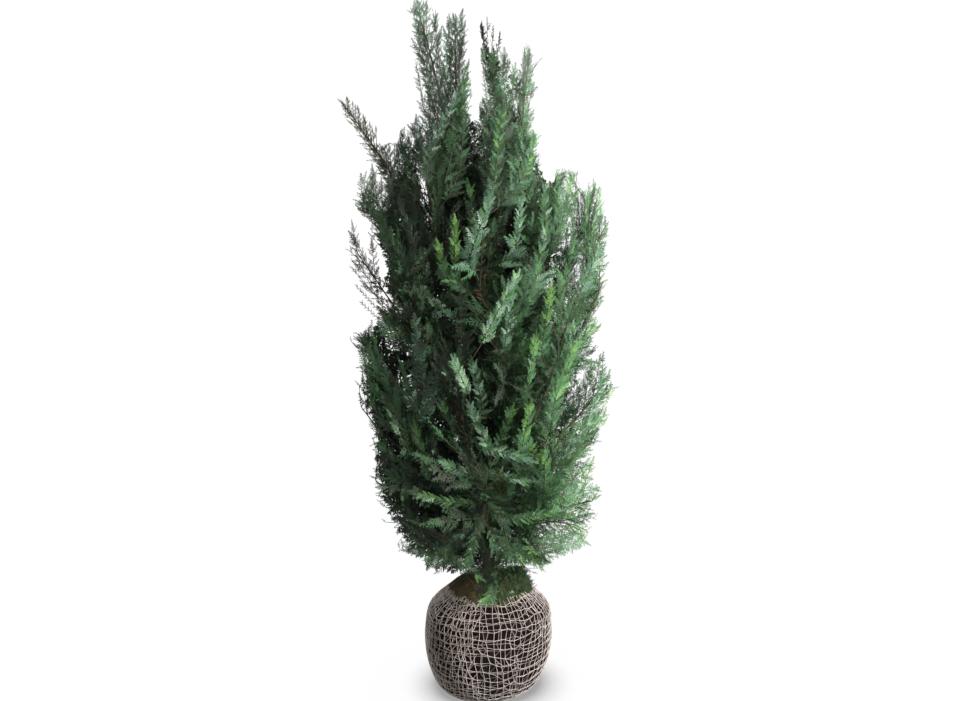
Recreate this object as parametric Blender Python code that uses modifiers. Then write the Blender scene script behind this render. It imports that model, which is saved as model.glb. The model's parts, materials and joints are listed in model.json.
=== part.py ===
"""A young Lawson cypress, lifted for planting, on a root ball that is wrapped in netting.

The ball stands on its flat underside at the origin, +Z is up and the plant's front faces -Y.
Each branch has a row of sizes below. It runs as one bowed line from its foot on a leader to its
tip: the first part is bare, as a bough or as the stem of its foliage, and the rest carries a mass
of flat sprays. A seeded rule sets twigs and toothed blades on that stem, and every mass keeps to
the space that is nearer to its own stem than to any other.
"""

import math
import random
from dataclasses import dataclass
from enum import Enum

import bmesh
import bpy
import numpy as np
from mathutils import Matrix, Vector

# Sizes are in metres. The fit gap keeps neighbouring solids just apart.
FIT_GAP = 0.0003
MERGE = 0.00001

# The root ball, as radius and height up its side: underside, flanks, rim of the net, soil top.
BALL_PROFILE = (
    (0.137, 0.000),
    (0.160, 0.024),
    (0.183, 0.080),
    (0.194, 0.145),
    (0.192, 0.200),
    (0.176, 0.252),
    (0.134, 0.295),
    (0.098, 0.322),
    (0.046, 0.342),
)
BALL_SIDES = 16
NET_FIRST, NET_LAST = 1, 6
STRAND_THICKNESS = 0.0036
STRAND_LIFT = 0.0025
SLUMP_SHIFT = -0.006
SLUMP_WAVES = ((2, 0.6, 0.016), (3, 2.1, 0.012))
SOIL_TOP = BALL_PROFILE[-1][1]
BALL_CLEARANCE = 0.010

# The stem that runs up from the ball to the left crest, and the leader that forks off to the right.
TRUNK_FOOT = SOIL_TOP + FIT_GAP
# Their ways are heights and leans above the soil.
TRUNK_WAY = (
    (0.0, 0.0, 0.0),
    (-0.004, 0.0, 0.20),
    (-0.020, 0.0, 0.46),
    (-0.064, 0.006, 0.86),
    (-0.116, 0.004, 1.28),
)
TRUNK_RADII = (0.0170, 0.0048)
FLARE_HEIGHT = 0.075
FLARE_SHARE = 0.55
FOOT_STEPS = (0.0, 0.016, 0.045)
LEADER_WAY = ((-0.010, 0.0, 0.30), (0.026, 0.004, 0.52), (0.044, 0.0, 0.84), (0.050, 0.0, 1.14))
LEADER_RADII = (0.0105, 0.0044)
LIMB_STEPS = 12

BOUGH_RADII = (0.0062, 0.0034)
STEM_RADII = (0.0036, 0.0014)
STEM_STEPS = 4
BOUGH_STEPS = 4
STEM_START = 0.012
WAY_STEPS = 25
LEAFY_STEPS = 9

# The foliage: how far apart two masses stay, and how twigs, blades and dense cores are shaped.
# A blade's outline runs round it from its tip, as shares of its length and of its half width.
SPACE_MARGIN = 0.004
LIMB_MARGIN = 0.0035
FULL_HALF_WIDTH = 0.080
TWIG_SHARES = (0.05, 0.26)
TWIG_RADII = (0.0022, 0.0007)
TWIG_SPREAD = (54, 40)
SIDE_BLADE_AT = 0.30
SIDE_BLADE_TURN = 42
BLADE_SHARES = (0.14, 0.32, 0.48, 0.64)
BLADE_SPREAD = (48, 28)
BLADE_LENGTH = 0.172
BLADE_HALF_WIDTH = 0.26
BLADE_HALF_THICKNESS = 0.016
BLADE_CENTRE = 0.42
BLADE_OUTLINE = (
    (1.0, 0.0),
    (0.74, 0.62),
    (0.56, 0.34),
    (0.30, 1.0),
    (0.0, 0.0),
    (0.22, -0.86),
    (0.50, -0.34),
    (0.66, -0.74),
)
BLADE_ROOT = 0.05
BLADE_SINK = 0.60
STEM_IN_BLADE = 0.45
TRY_SCALES = (1.0, 0.82, 0.66, 0.52)
CORE_WIDTH = 0.50
CORE_THICKNESS = 0.26
CORE_END = 0.86
CORE_TRIES = ((0.02, 1.0), (0.16, 1.0), (0.02, 0.8), (0.16, 0.8), (0.30, 0.8), (0.30, 0.6), (0.44, 0.6))
UPTURN = 0.28
SEED = 1871


class Bow(Enum):
    """How a branch bends: where its middle lies, as shares of its reach and rise, and a lift by its reach."""

    RISING = (0.68, 0.38, 0.0)
    STRAIGHT = (0.54, 0.50, 0.0)
    ARCHING = (0.50, 0.64, 0.0)
    LEVEL = (0.60, 0.55, 0.10)
    DROOPING = (0.58, 0.50, 0.34)


TOP = None


@dataclass(frozen=True)
class Branch:
    """A branch by its sizes: height of its foot, bearing from +X in degrees, reach and height of its tip.

    A branch with its foot at TOP carries its parent's own end on.
    """

    name: str
    parent: str
    foot: float
    bearing: float
    reach: float
    tip: float
    bow: Bow
    half_width: float
    bough: bool = False
    bare: float = 0.20


BRANCHES = (
    Branch("left_crest", "trunk", TOP, 188, 0.207, 2.02, Bow.ARCHING, 0.058, bare=0.0),
    Branch("left_crest_inner", "trunk", 1.42, 146, 0.117, 1.98, Bow.STRAIGHT, 0.062),
    Branch("right_crest", "right_leader", TOP, 240, 0.052, 1.93, Bow.STRAIGHT, 0.070, bare=0.0),
    Branch("right_crest_outer", "right_leader", 1.30, 21, 0.124, 1.90, Bow.STRAIGHT, 0.064),
    Branch("left_arch", "trunk", 1.12, 183, 0.430, 1.77, Bow.ARCHING, 0.046, bough=True, bare=0.30),
    Branch("left_tuft", "trunk", 1.20, 170, 0.275, 1.68, Bow.STRAIGHT, 0.058),
    Branch("upper_left", "trunk", 0.98, 191, 0.395, 1.55, Bow.STRAIGHT, 0.078, bough=True),
    Branch("left_feather", "trunk", 0.82, 184, 0.403, 1.365, Bow.STRAIGHT, 0.066, bough=True, bare=0.30),
    Branch("mid_left", "trunk", 0.68, 194, 0.400, 1.14, Bow.RISING, 0.084, bough=True),
    Branch("left_side", "trunk", 0.56, 172, 0.412, 0.89, Bow.RISING, 0.084),
    Branch("lower_left", "trunk", 0.485, 194, 0.362, 0.69, Bow.RISING, 0.080, bough=True),
    Branch("low_left", "trunk", 0.430, 174, 0.300, 0.475, Bow.DROOPING, 0.074),
    Branch("foot_left", "trunk", 0.395, 146, 0.205, 0.385, Bow.DROOPING, 0.056),
    Branch("foot_front", "trunk", 0.385, 258, 0.185, 0.325, Bow.DROOPING, 0.054),
    Branch("foot_right", "trunk", 0.400, 342, 0.210, 0.395, Bow.DROOPING, 0.056),
    Branch("low_right", "trunk", 0.435, 12, 0.325, 0.455, Bow.DROOPING, 0.074, bough=True),
    Branch("lower_right", "trunk", 0.470, 346, 0.336, 0.61, Bow.LEVEL, 0.080),
    Branch("right_side", "trunk", 0.54, 10, 0.354, 0.80, Bow.RISING, 0.084, bough=True),
    Branch("mid_right", "trunk", 0.64, 348, 0.352, 0.98, Bow.RISING, 0.084, bough=True),
    Branch("upper_right_low", "right_leader", 0.80, 2, 0.348, 1.28, Bow.RISING, 0.085, bough=True),
    Branch("right_outer", "right_leader", 0.92, 350, 0.338, 1.43, Bow.RISING, 0.074),
    Branch("upper_right", "right_leader", 1.00, 12, 0.328, 1.54, Bow.RISING, 0.078),
    Branch("right_tuft", "right_leader", 1.10, 338, 0.215, 1.58, Bow.STRAIGHT, 0.070),
    Branch("front_left_top", "trunk", 1.34, 231, 0.135, 1.76, Bow.RISING, 0.066),
    Branch("front_right_top", "right_leader", 1.20, 290, 0.115, 1.74, Bow.RISING, 0.066),
    Branch("front_left_high", "trunk", 1.06, 232, 0.245, 1.48, Bow.RISING, 0.076),
    Branch("front_right_high", "right_leader", 0.92, 308, 0.215, 1.49, Bow.RISING, 0.076),
    Branch("front_high", "trunk", 0.90, 268, 0.225, 1.485, Bow.RISING, 0.076),
    Branch("front_left_fan", "trunk", 0.74, 218, 0.300, 1.33, Bow.RISING, 0.082),
    Branch("front_right_mid", "trunk", 0.70, 284, 0.285, 1.25, Bow.RISING, 0.082),
    Branch("front_right_fan", "trunk", 0.60, 318, 0.290, 1.16, Bow.RISING, 0.082),
    Branch("front_mid", "trunk", 0.60, 252, 0.318, 1.06, Bow.RISING, 0.082, bough=True),
    Branch("front_left_low", "trunk", 0.54, 224, 0.325, 0.86, Bow.RISING, 0.090),
    Branch("front_low", "trunk", 0.46, 268, 0.300, 0.76, Bow.RISING, 0.080),
    Branch("front_right_low", "trunk", 0.50, 306, 0.310, 0.83, Bow.RISING, 0.082),
    Branch("skirt_left", "trunk", 0.425, 222, 0.265, 0.49, Bow.DROOPING, 0.070),
    Branch("skirt_right", "trunk", 0.430, 306, 0.250, 0.49, Bow.DROOPING, 0.070),
)

# The back of the crown, which a loop fills in on three bearings by turns.
BACK_COUNT = 8
FORK_CLEAR = 0.68
BACK_TIPS = (0.50, 1.66)
BACK_RISE = 0.44
BACK_BEARINGS = (38, 142, 88)
BACK_HALF_WIDTH = 0.082


def crown_reach(height):
    """How far the crown reaches at a height, from its widest part down to the skirt and up to the crests."""
    heights = (0.40, 0.60, 0.85, 1.20, 1.50, 1.75, 2.00)
    reaches = (0.25, 0.33, 0.37, 0.36, 0.31, 0.17, 0.08)
    return float(np.interp(height, heights, reaches))


def back_branches():
    """The rows of the branches behind, spaced evenly up the crown on three bearings in turn."""
    rows = []
    for index in range(BACK_COUNT):
        share = index / (BACK_COUNT - 1)
        tip = BACK_TIPS[0] + share * (BACK_TIPS[1] - BACK_TIPS[0])
        foot = max(SOIL_TOP + 0.07, tip - BACK_RISE * (0.35 + 0.65 * share) - 0.02)
        bearing = BACK_BEARINGS[index % len(BACK_BEARINGS)] + 9 * math.sin(2.4 * index)
        parent = "right_leader" if bearing < 90 and foot > FORK_CLEAR else "trunk"
        bow = Bow.LEVEL if index < 2 else Bow.RISING
        row = Branch(f"back_{index + 1}", parent, foot, bearing, crown_reach(tip), tip, bow, BACK_HALF_WIDTH)
        rows.append(row)
    return rows


def remove_all_objects():
    """An empty scene to build in."""
    for obj in list(bpy.data.objects):
        bpy.data.objects.remove(obj)


def collection(name):
    """A new collection in the scene."""
    made = bpy.data.collections.new(name)
    bpy.context.scene.collection.children.link(made)
    return made


def material(name, colour, roughness):
    """A plain finish by its base colour and roughness."""
    made = bpy.data.materials.new(name)
    made.use_nodes = True
    shader = made.node_tree.nodes["Principled BSDF"]
    shader.inputs["Base Color"].default_value = (*colour, 1.0)
    shader.inputs["Roughness"].default_value = roughness
    return made


def smooth_way(places, steps):
    """Points along one smooth curve through a few places, by Catmull-Rom."""
    known = [Vector(p) for p in places]
    known = [2 * known[0] - known[1], *known, 2 * known[-1] - known[-2]]
    spans = len(known) - 3
    points = []
    for step in range(steps):
        at = step / (steps - 1) * spans
        i = min(int(at), spans - 1)
        t = at - i
        a, b, c, d = known[i : i + 4]
        bend = (2 * a - 5 * b + 4 * c - d) * t**2
        twist = (3 * b - a - 3 * c + d) * t**3
        points.append(0.5 * (2 * b + (c - a) * t + bend + twist))
    return points


def at_height(points, height):
    """The point of an upright line at a height."""
    heights = [p.z for p in points]
    return Vector([float(np.interp(height, heights, [p[axis] for p in points])) for axis in range(3)])


def tube_curve(name, points, radii, rounds):
    """A tapering limb as a curve with filled caps. rounds is its bevel resolution."""
    curve = bpy.data.curves.new(name, "CURVE")
    curve.dimensions = "3D"
    curve.bevel_depth = 1.0
    curve.bevel_resolution = rounds
    curve.use_fill_caps = True
    spline = curve.splines.new("POLY")
    spline.points.add(len(points) - 1)
    for knot, place, radius in zip(spline.points, points, radii):
        knot.co = (*place, 1.0)
        knot.radius = radius
    return bpy.data.objects.new(name, curve)


def tube_mesh(name, points, radii, rounds, home):
    """The same limb as a mesh with its caps welded on, linked to its collection."""
    source = tube_curve(name + "_line", points, radii, rounds)
    home.objects.link(source)
    graph = bpy.context.evaluated_depsgraph_get()
    mesh = bpy.data.meshes.new_from_object(source.evaluated_get(graph))
    bpy.data.objects.remove(source)
    mesh.name = name
    work = bmesh.new()
    work.from_mesh(mesh)
    bmesh.ops.remove_doubles(work, verts=work.verts, dist=MERGE)
    bmesh.ops.recalc_face_normals(work, faces=work.faces)
    work.to_mesh(mesh)
    work.free()
    made = bpy.data.objects.new(name, mesh)
    home.objects.link(made)
    return made


def even_radii(ends, steps):
    """Radii that taper evenly from the first end to the second."""
    return [ends[0] + (ends[1] - ends[0]) * step / (steps - 1) for step in range(steps)]


def finish_solid(obj, finish):
    """Gives a solid its material and smooth shading between its sharp edges."""
    obj.data.materials.clear()
    obj.data.materials.append(finish)
    obj.data.shade_smooth()
    obj.data.set_sharp_from_angle(angle=math.radians(40))


def slump(obj):
    """Moves a turned shape's points a little, as a ball of soil settles out of round. Heights stay."""
    for vertex in obj.data.vertices:
        x, y, z = vertex.co
        turn = math.atan2(y, x)
        grow = 1 + sum(size * math.sin(waves * turn + phase) for waves, phase, size in SLUMP_WAVES)
        shift = SLUMP_SHIFT * (1 - z / SOIL_TOP)
        vertex.co = (x * grow + shift, y * grow, z)


def turned(name, profile, home):
    """A profile of radius and height, turned about the upright axis."""
    mesh = bpy.data.meshes.new(name)
    points = [(radius, 0.0, height) for radius, height in reversed(profile)]
    mesh.from_pydata(points, [(i, i + 1) for i in range(len(points) - 1)], [])
    made = bpy.data.objects.new(name, mesh)
    home.objects.link(made)
    screw = made.modifiers.new("turn", "SCREW")
    screw.steps = screw.render_steps = BALL_SIDES
    screw.use_merge_vertices = True
    screw.merge_threshold = MERGE
    graph = bpy.context.evaluated_depsgraph_get()
    made.data = bpy.data.meshes.new_from_object(made.evaluated_get(graph))
    made.modifiers.clear()
    return made


def root_ball(home, finish):
    """The ball of soil: barrel flanks, a low mound on top, and a flat underside."""
    ball = turned("root_ball", ((0.0, 0.0), *BALL_PROFILE, (0.0, SOIL_TOP)), home)
    slump(ball)
    finish_solid(ball, finish)
    return ball


def lifted(profile, first, last, lift):
    """A stretch of a profile, moved out along its own normal."""
    rows = []
    for index in range(first, last + 1):
        (low_radius, low), (high_radius, high) = profile[index - 1], profile[index + 1]
        out = Vector((high - low, low_radius - high_radius)).normalized() * lift
        rows.append((profile[index][0] + out.x, profile[index][1] + out.y))
    return rows


def netting(home, finish):
    """The wrap of netting: strands along the ball's own rings and ribs, from its heel up to the rim."""
    net = turned("netting", lifted(BALL_PROFILE, NET_FIRST, NET_LAST, STRAND_LIFT), home)
    slump(net)
    strands = net.modifiers.new("strands", "WIREFRAME")
    strands.thickness = STRAND_THICKNESS
    strands.use_boundary = True
    strands.use_even_offset = False
    strands.offset = 0.0
    net.data.materials.append(finish)
    return net


def branch_way(row, parents, steps):
    """The line of a whole branch, from its parent's middle or end to its tip, as a quadratic curve."""
    parent = parents[row.parent]
    foot = parent[-1] if row.foot is TOP else at_height(parent, row.foot)
    turn = math.radians(row.bearing)
    tip = Vector((row.reach * math.cos(turn), row.reach * math.sin(turn), row.tip))
    out, rise, lift = row.bow.value
    flat = Vector((tip.x - foot.x, tip.y - foot.y, 0.0))
    middle = foot + flat * out + Vector((0.0, 0.0, (tip.z - foot.z) * rise + flat.length * lift))
    if row.foot is TOP:
        middle = foot + (parent[-1] - parent[-2]).normalized() * ((tip - foot).length * 0.5)
    shares = [step / (steps - 1) for step in range(steps)]
    return [foot * (1 - t) ** 2 + middle * (2 * t * (1 - t)) + tip * t**2 for t in shares]


def along(points, share):
    """The point at a share of a line's steps, and the line's direction there."""
    at = share * (len(points) - 1)
    i = min(int(at), len(points) - 2)
    step = points[i + 1] - points[i]
    return points[i] + step * (at - i), step.normalized()


@dataclass
class Foliage:
    """Where one mass grows: its leafy stem's line and the plane of its fan."""

    row: Branch
    stem: list
    dice: random.Random

    def __post_init__(self):
        bearing = math.radians(self.row.bearing)
        across = Vector((-math.sin(bearing), math.cos(bearing), 0.0))
        facing = abs(math.sin(bearing))
        roll = math.radians(64 * facing + (40 - 20 * facing) * self.dice.uniform(-1, 1))
        axis = (self.stem[-1] - self.stem[0]).normalized()
        level = (across - axis * across.dot(axis)).normalized()
        self.normal = Matrix.Rotation(roll, 3, axis) @ level
        self.length = sum((b - a).length for a, b in zip(self.stem, self.stem[1:]))

    @property
    def blade_length(self):
        """A blade's length, in keeping with the plume's width."""
        return BLADE_LENGTH * self.row.half_width / FULL_HALF_WIDTH

    def aside(self, axis, hand, spread, tilt):
        """A direction that leaves an axis to the fan's one side (hand 1 or -1) and turns up a little."""
        side = axis.cross(self.normal).normalized() * hand
        angle = math.radians(spread + self.dice.uniform(-6, 6))
        upturn = Vector((0.0, 0.0, 0.0 if self.row.bow is Bow.DROOPING else UPTURN))
        lean = self.normal * self.dice.uniform(-tilt, tilt)
        return (axis * math.cos(angle) + side * math.sin(angle) + lean + upturn).normalized()

    def turned_face(self, direction):
        """The fan's face, turned a little about a direction, as the seeded dice fall."""
        return Matrix.Rotation(math.radians(self.dice.uniform(-40, 40)), 3, direction) @ self.normal


class Spaces:
    """Which part of the crown belongs to which mass, and where the bare limbs stand."""

    def __init__(self):
        self.stems = {}
        self.limbs = {}

    def add_stem(self, name, points):
        """A mass's leafy stem, whose surroundings are its own."""
        self.stems[name] = np.array([tuple(p) for p in points])

    def add_limb(self, name, points, radii):
        """A bare limb that foliage keeps off."""
        self.limbs[name] = (np.array([tuple(p) for p in points]), np.array(radii))

    @staticmethod
    def distances(places, line):
        """Distance of each place to each straight piece of a line."""
        start, span = line[:-1], line[1:] - line[:-1]
        offset = places[:, None, :] - start[None]
        share = np.clip((offset * span).sum(-1) / (span * span).sum(-1), 0, 1)
        return np.linalg.norm(offset - share[..., None] * span, axis=-1)

    def free(self, name, places):
        """True if all the places lie in the mass's own space, off the limbs and off the ball."""
        own = self.distances(places, self.stems[name]).min(1)
        others = [self.distances(places, line).min(1) for key, line in self.stems.items() if key != name]
        if (own + SPACE_MARGIN > np.min(others, axis=0)).any():
            return False
        for key, (line, radii) in self.limbs.items():
            if key == name:
                continue
            thick = np.maximum(radii[:-1], radii[1:])
            if (self.distances(places, line) < thick + LIMB_MARGIN).any():
                return False
        ball = np.interp(places[:, 2], [p[1] for p in BALL_PROFILE], [p[0] for p in BALL_PROFILE], right=0.0)
        reach = np.hypot(places[:, 0], places[:, 1])
        return not ((reach < ball + BALL_CLEARANCE) & (places[:, 2] < SOIL_TOP + BALL_CLEARANCE)).any()


def frame_of(start, direction, face):
    """A matrix whose X runs along a direction and whose Z is the face turned square to it."""
    up = (face - direction * face.dot(direction)).normalized()
    side = up.cross(direction)
    return Matrix.Translation(start) @ Matrix((direction, side, up)).transposed().to_4x4()


def blade_shape(length):
    """A toothed blade that stands for a flat spray: a round primitive drawn out to the spray's outline."""
    work = bmesh.new()
    bmesh.ops.create_uvsphere(work, u_segments=len(BLADE_OUTLINE), v_segments=2, radius=1.0)
    for vertex in work.verts:
        if abs(vertex.co.z) > 0.5:
            thick = math.copysign(BLADE_HALF_THICKNESS, vertex.co.z)
            vertex.co = Vector((BLADE_CENTRE, 0.0, thick)) * length
            continue
        step = round(math.atan2(vertex.co.y, vertex.co.x) / math.tau * len(BLADE_OUTLINE))
        ahead, aside = BLADE_OUTLINE[step % len(BLADE_OUTLINE)]
        vertex.co = Vector((ahead, aside * BLADE_HALF_WIDTH, 0.0)) * length
    return work


def twig_shape(length):
    """A three-sided twig that tapers along +X from the origin."""
    work = bmesh.new()
    bmesh.ops.create_cone(
        work, cap_ends=True, segments=3, radius1=TWIG_RADII[0], radius2=TWIG_RADII[1], depth=length
    )
    bmesh.ops.translate(work, verts=work.verts, vec=(0, 0, length / 2))
    bmesh.ops.rotate(work, verts=work.verts, matrix=Matrix.Rotation(math.pi / 2, 3, "Y"))
    return work


def samples_of(work, matrix, parts):
    """Places spread over a shape's faces, to test it against the space it may fill."""
    places = []
    for face in work.faces:
        corners = [matrix @ v.co for v in face.verts]
        for i in range(parts + 1):
            for j in range(parts + 1 - i):
                a, b = i / parts, j / parts
                places.append(corners[0] + (corners[1] - corners[0]) * a + (corners[2] - corners[0]) * b)
    return np.array([tuple(p) for p in places])


def as_object(work, matrix, name, home):
    """Turns a working shape into an object in a collection, in place."""
    work.transform(matrix)
    bmesh.ops.recalc_face_normals(work, faces=work.faces)
    mesh = bpy.data.meshes.new(name)
    work.to_mesh(mesh)
    work.free()
    made = bpy.data.objects.new(name, mesh)
    home.objects.link(made)
    return made


def core_shape(foliage, first, scale):
    """The mass's dense middle: a flat spindle that follows the stem."""
    work = bmesh.new()
    bmesh.ops.create_uvsphere(work, u_segments=5, v_segments=3, radius=1.0)
    for vertex in work.verts:
        share = first + (CORE_END - first) * (0.5 + 0.5 * vertex.co.z)
        place, axis = along(foliage.stem, share)
        side = axis.cross(foliage.normal).normalized()
        width = foliage.row.half_width * CORE_WIDTH * scale
        thick = foliage.row.half_width * CORE_THICKNESS * scale
        vertex.co = place + side * (vertex.co.x * width) + foliage.normal * (vertex.co.y * thick)
    return work


def add_core(foliage, spaces, home):
    """Fuses in the largest core that fits the mass's space, if any does."""
    for first, scale in CORE_TRIES:
        work = core_shape(foliage, first, scale)
        bmesh.ops.triangulate(work, faces=work.faces)
        if spaces.free(foliage.row.name, samples_of(work, Matrix.Identity(4), 3)):
            as_object(work, Matrix.Identity(4), "core", home)
            return
        work.free()


def add_blade(foliage, spaces, home, start, direction, length):
    """A blade with its root sunk at a place, at full size or smaller to fit the mass's space, or none."""
    face = foliage.turned_face(direction)
    for scale in TRY_SCALES:
        size = length * scale
        place = frame_of(start - direction * (size * BLADE_ROOT), direction, face)
        blade = blade_shape(size)
        if spaces.free(foliage.row.name, samples_of(blade, place, 7)):
            as_object(blade, place, "blade", home)
            return
        blade.free()


def add_twig(foliage, spaces, home, start, direction, length):
    """A side twig that fits the mass's space. Returns its length, or 0 where none fits."""
    for scale in TRY_SCALES:
        size = length * scale
        places = np.array([tuple(start + direction * (size * i / 12)) for i in range(1, 13)])
        if spaces.free(foliage.row.name, places):
            as_object(twig_shape(size), frame_of(start, direction, foliage.normal), "twig", home)
            return size
    return 0.0


def grow(foliage, spaces, home):
    """The seeded rule: a blade at the tip, two side twigs with two blades each, and blades by turns."""
    length = foliage.blade_length
    line = foliage.stem
    start, _ = along(line, 1 - length / foliage.length)
    axis = (line[-1] - start).normalized()
    size = (line[-1] - start).length
    as_object(blade_shape(size), frame_of(start, axis, foliage.normal), "blade", home)
    for index, share in enumerate(TWIG_SHARES):
        hand = 1 if index % 2 else -1
        start, axis = along(line, share)
        direction = foliage.aside(axis, hand, TWIG_SPREAD[index], 0.25)
        size = add_twig(foliage, spaces, home, start, direction, foliage.row.half_width)
        if size:
            side = foliage.aside(direction, hand, SIDE_BLADE_TURN, 0.5)
            add_blade(foliage, spaces, home, start + direction * (size * SIDE_BLADE_AT), side, length * 0.85)
            add_blade(foliage, spaces, home, start + direction * (size * BLADE_SINK), direction, length)
    for index, share in enumerate(BLADE_SHARES):
        hand = -1 if index % 2 else 1
        start, axis = along(line, share)
        spread = BLADE_SPREAD[0] + (BLADE_SPREAD[1] - BLADE_SPREAD[0]) * share
        direction = foliage.aside(axis, hand, spread, 0.7)
        add_blade(foliage, spaces, home, start, direction, length * (1.05 - 0.25 * share))


def keep_largest(mesh):
    """Drops the loose scraps and sealed hollows that a join can leave: all but the piece with most faces."""
    work = bmesh.new()
    work.from_mesh(mesh)
    left = set(work.verts)
    shells = []
    while left:
        shell = {left.pop()}
        edge = list(shell)
        while edge:
            near = {e.other_vert(v) for v in edge for e in v.link_edges} - shell
            shell |= near
            edge = list(near)
        left -= shell
        shells.append(shell)
    shells.sort(key=len)
    for shell in shells[:-1]:
        bmesh.ops.delete(work, geom=list(shell), context="VERTS")
    work.to_mesh(mesh)
    work.free()


def union_of(name, stem, pieces, home):
    """One solid from a stem and the pieces that stand on it. The pieces are removed."""
    join = stem.modifiers.new("join", "BOOLEAN")
    join.operation = "UNION"
    join.operand_type = "COLLECTION"
    join.collection = pieces
    join.solver = "EXACT"
    bpy.context.view_layer.update()
    graph = bpy.context.evaluated_depsgraph_get()
    mesh = bpy.data.meshes.new_from_object(stem.evaluated_get(graph))
    mesh.name = name
    keep_largest(mesh)
    for piece in list(pieces.objects):
        bpy.data.objects.remove(piece)
    bpy.data.collections.remove(pieces)
    bpy.data.objects.remove(stem)
    made = bpy.data.objects.new(name, mesh)
    home.objects.link(made)
    return made


def cut_to(obj, cutter):
    """Takes the parent limb's room out of a limb's foot, which leaves it seated with the fit gap."""
    cut = obj.modifiers.new("seat", "BOOLEAN")
    cut.operation = "DIFFERENCE"
    cut.object = cutter
    cut.solver = "EXACT"


def applied(obj):
    """The object with its modifiers worked into its mesh."""
    bpy.context.view_layer.update()
    graph = bpy.context.evaluated_depsgraph_get()
    obj.data = bpy.data.meshes.new_from_object(obj.evaluated_get(graph))
    obj.modifiers.clear()
    return obj


def split_way(points, share):
    """A line cut in two at a share of its steps."""
    middle, _ = along(points, share)
    whole = int(share * (len(points) - 1))
    return [*points[: whole + 1], middle], [middle, *points[whole + 1 :]]


def resampled(points, steps):
    """A line with evenly spaced points."""
    lengths = np.cumsum([0.0] + [(b - a).length for a, b in zip(points, points[1:])])
    wanted = np.linspace(0.0, lengths[-1], steps)
    columns = [np.interp(wanted, lengths, [p[axis] for p in points]) for axis in range(3)]
    return [Vector(place) for place in zip(*columns)]


def trunk_line():
    """The stem's middle line and radii, with its foot upright and flared."""
    points = smooth_way(TRUNK_WAY, LIMB_STEPS)
    points = [*(Vector((0, 0, height)) for height in FOOT_STEPS), *points[1:]]
    points = [p + Vector((0, 0, TRUNK_FOOT)) for p in points]
    top = points[-1].z
    radii = []
    for point in points:
        share = (point.z - TRUNK_FOOT) / (top - TRUNK_FOOT)
        flare = FLARE_SHARE * max(0.0, 1 - (point.z - TRUNK_FOOT) / FLARE_HEIGHT) ** 2
        radii.append((TRUNK_RADII[0] + (TRUNK_RADII[1] - TRUNK_RADII[0]) * share) * (1 + flare))
    return points, radii


def leader_line():
    """The right leader's middle line and radii, from inside the trunk up."""
    points = [p + Vector((0, 0, TRUNK_FOOT)) for p in smooth_way(LEADER_WAY, LIMB_STEPS)]
    return points, even_radii(LEADER_RADII, LIMB_STEPS)


def limb_cutter(name, points, radii, cutters):
    """A limb grown by the fit gap, which cuts the feet of what grows on it."""
    cutter = tube_mesh(name, points, [radius + FIT_GAP for radius in radii], 2, cutters)
    cutter.hide_render = True
    cutter.display_type = "WIRE"
    return cutter


@dataclass
class Growth:
    """A branch as it is built: its bare stretch with its radii, and the foliage beyond."""

    row: Branch
    bare: list
    radii: list
    foliage: Foliage


def planned(parents, spaces):
    """Every branch's line, split into its bare and its leafy stretch and booked in the spaces."""
    growths = []
    for index, row in enumerate([*BRANCHES, *back_branches()]):
        way = branch_way(row, parents, WAY_STEPS)
        start = BOUGH_RADII if row.bough else (STEM_RADII[0] * 1.25, STEM_RADII[0])
        radii = even_radii(start, BOUGH_STEPS)
        bare, leafy = [], way
        if row.foot is not TOP:
            bare, leafy = split_way(way, row.bare)
            bare = resampled(bare, BOUGH_STEPS)
            spaces.add_limb(f"{row.name}_bough" if row.bough else row.name, bare, radii)
        leafy = resampled(leafy, LEAFY_STEPS)
        spaces.add_stem(row.name, leafy)
        growths.append(Growth(row, bare, radii, Foliage(row, leafy, random.Random(SEED + index))))
    return growths


def leafy_stem(growth, parents, cutter_of, home):
    """The three-sided stem of a mass, which meets its carrier's end or has its foot cut to its parent."""
    row, bare, foliage = growth.row, growth.bare, growth.foliage
    end = 1 - (1 - STEM_IN_BLADE) * foliage.blade_length / foliage.length
    line = resampled(split_way(foliage.stem, end)[0], STEM_STEPS)
    radii = even_radii(STEM_RADII, STEM_STEPS)
    if row.bough or row.foot is TOP:
        carrier = bare if row.bough else parents[row.parent]
        axis = (carrier[-1] - carrier[-2]).normalized()
        start = [carrier[-1] + axis * FIT_GAP, carrier[-1] + axis * STEM_START]
        return tube_mesh("stem", [*start, *line[1:]], [radii[0], *radii], 0, home)
    stem = tube_mesh("stem", [*bare[:-1], *line], [*growth.radii[:-1], *radii], 0, home)
    cut_to(stem, cutter_of[row.parent])
    return applied(stem)


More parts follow.
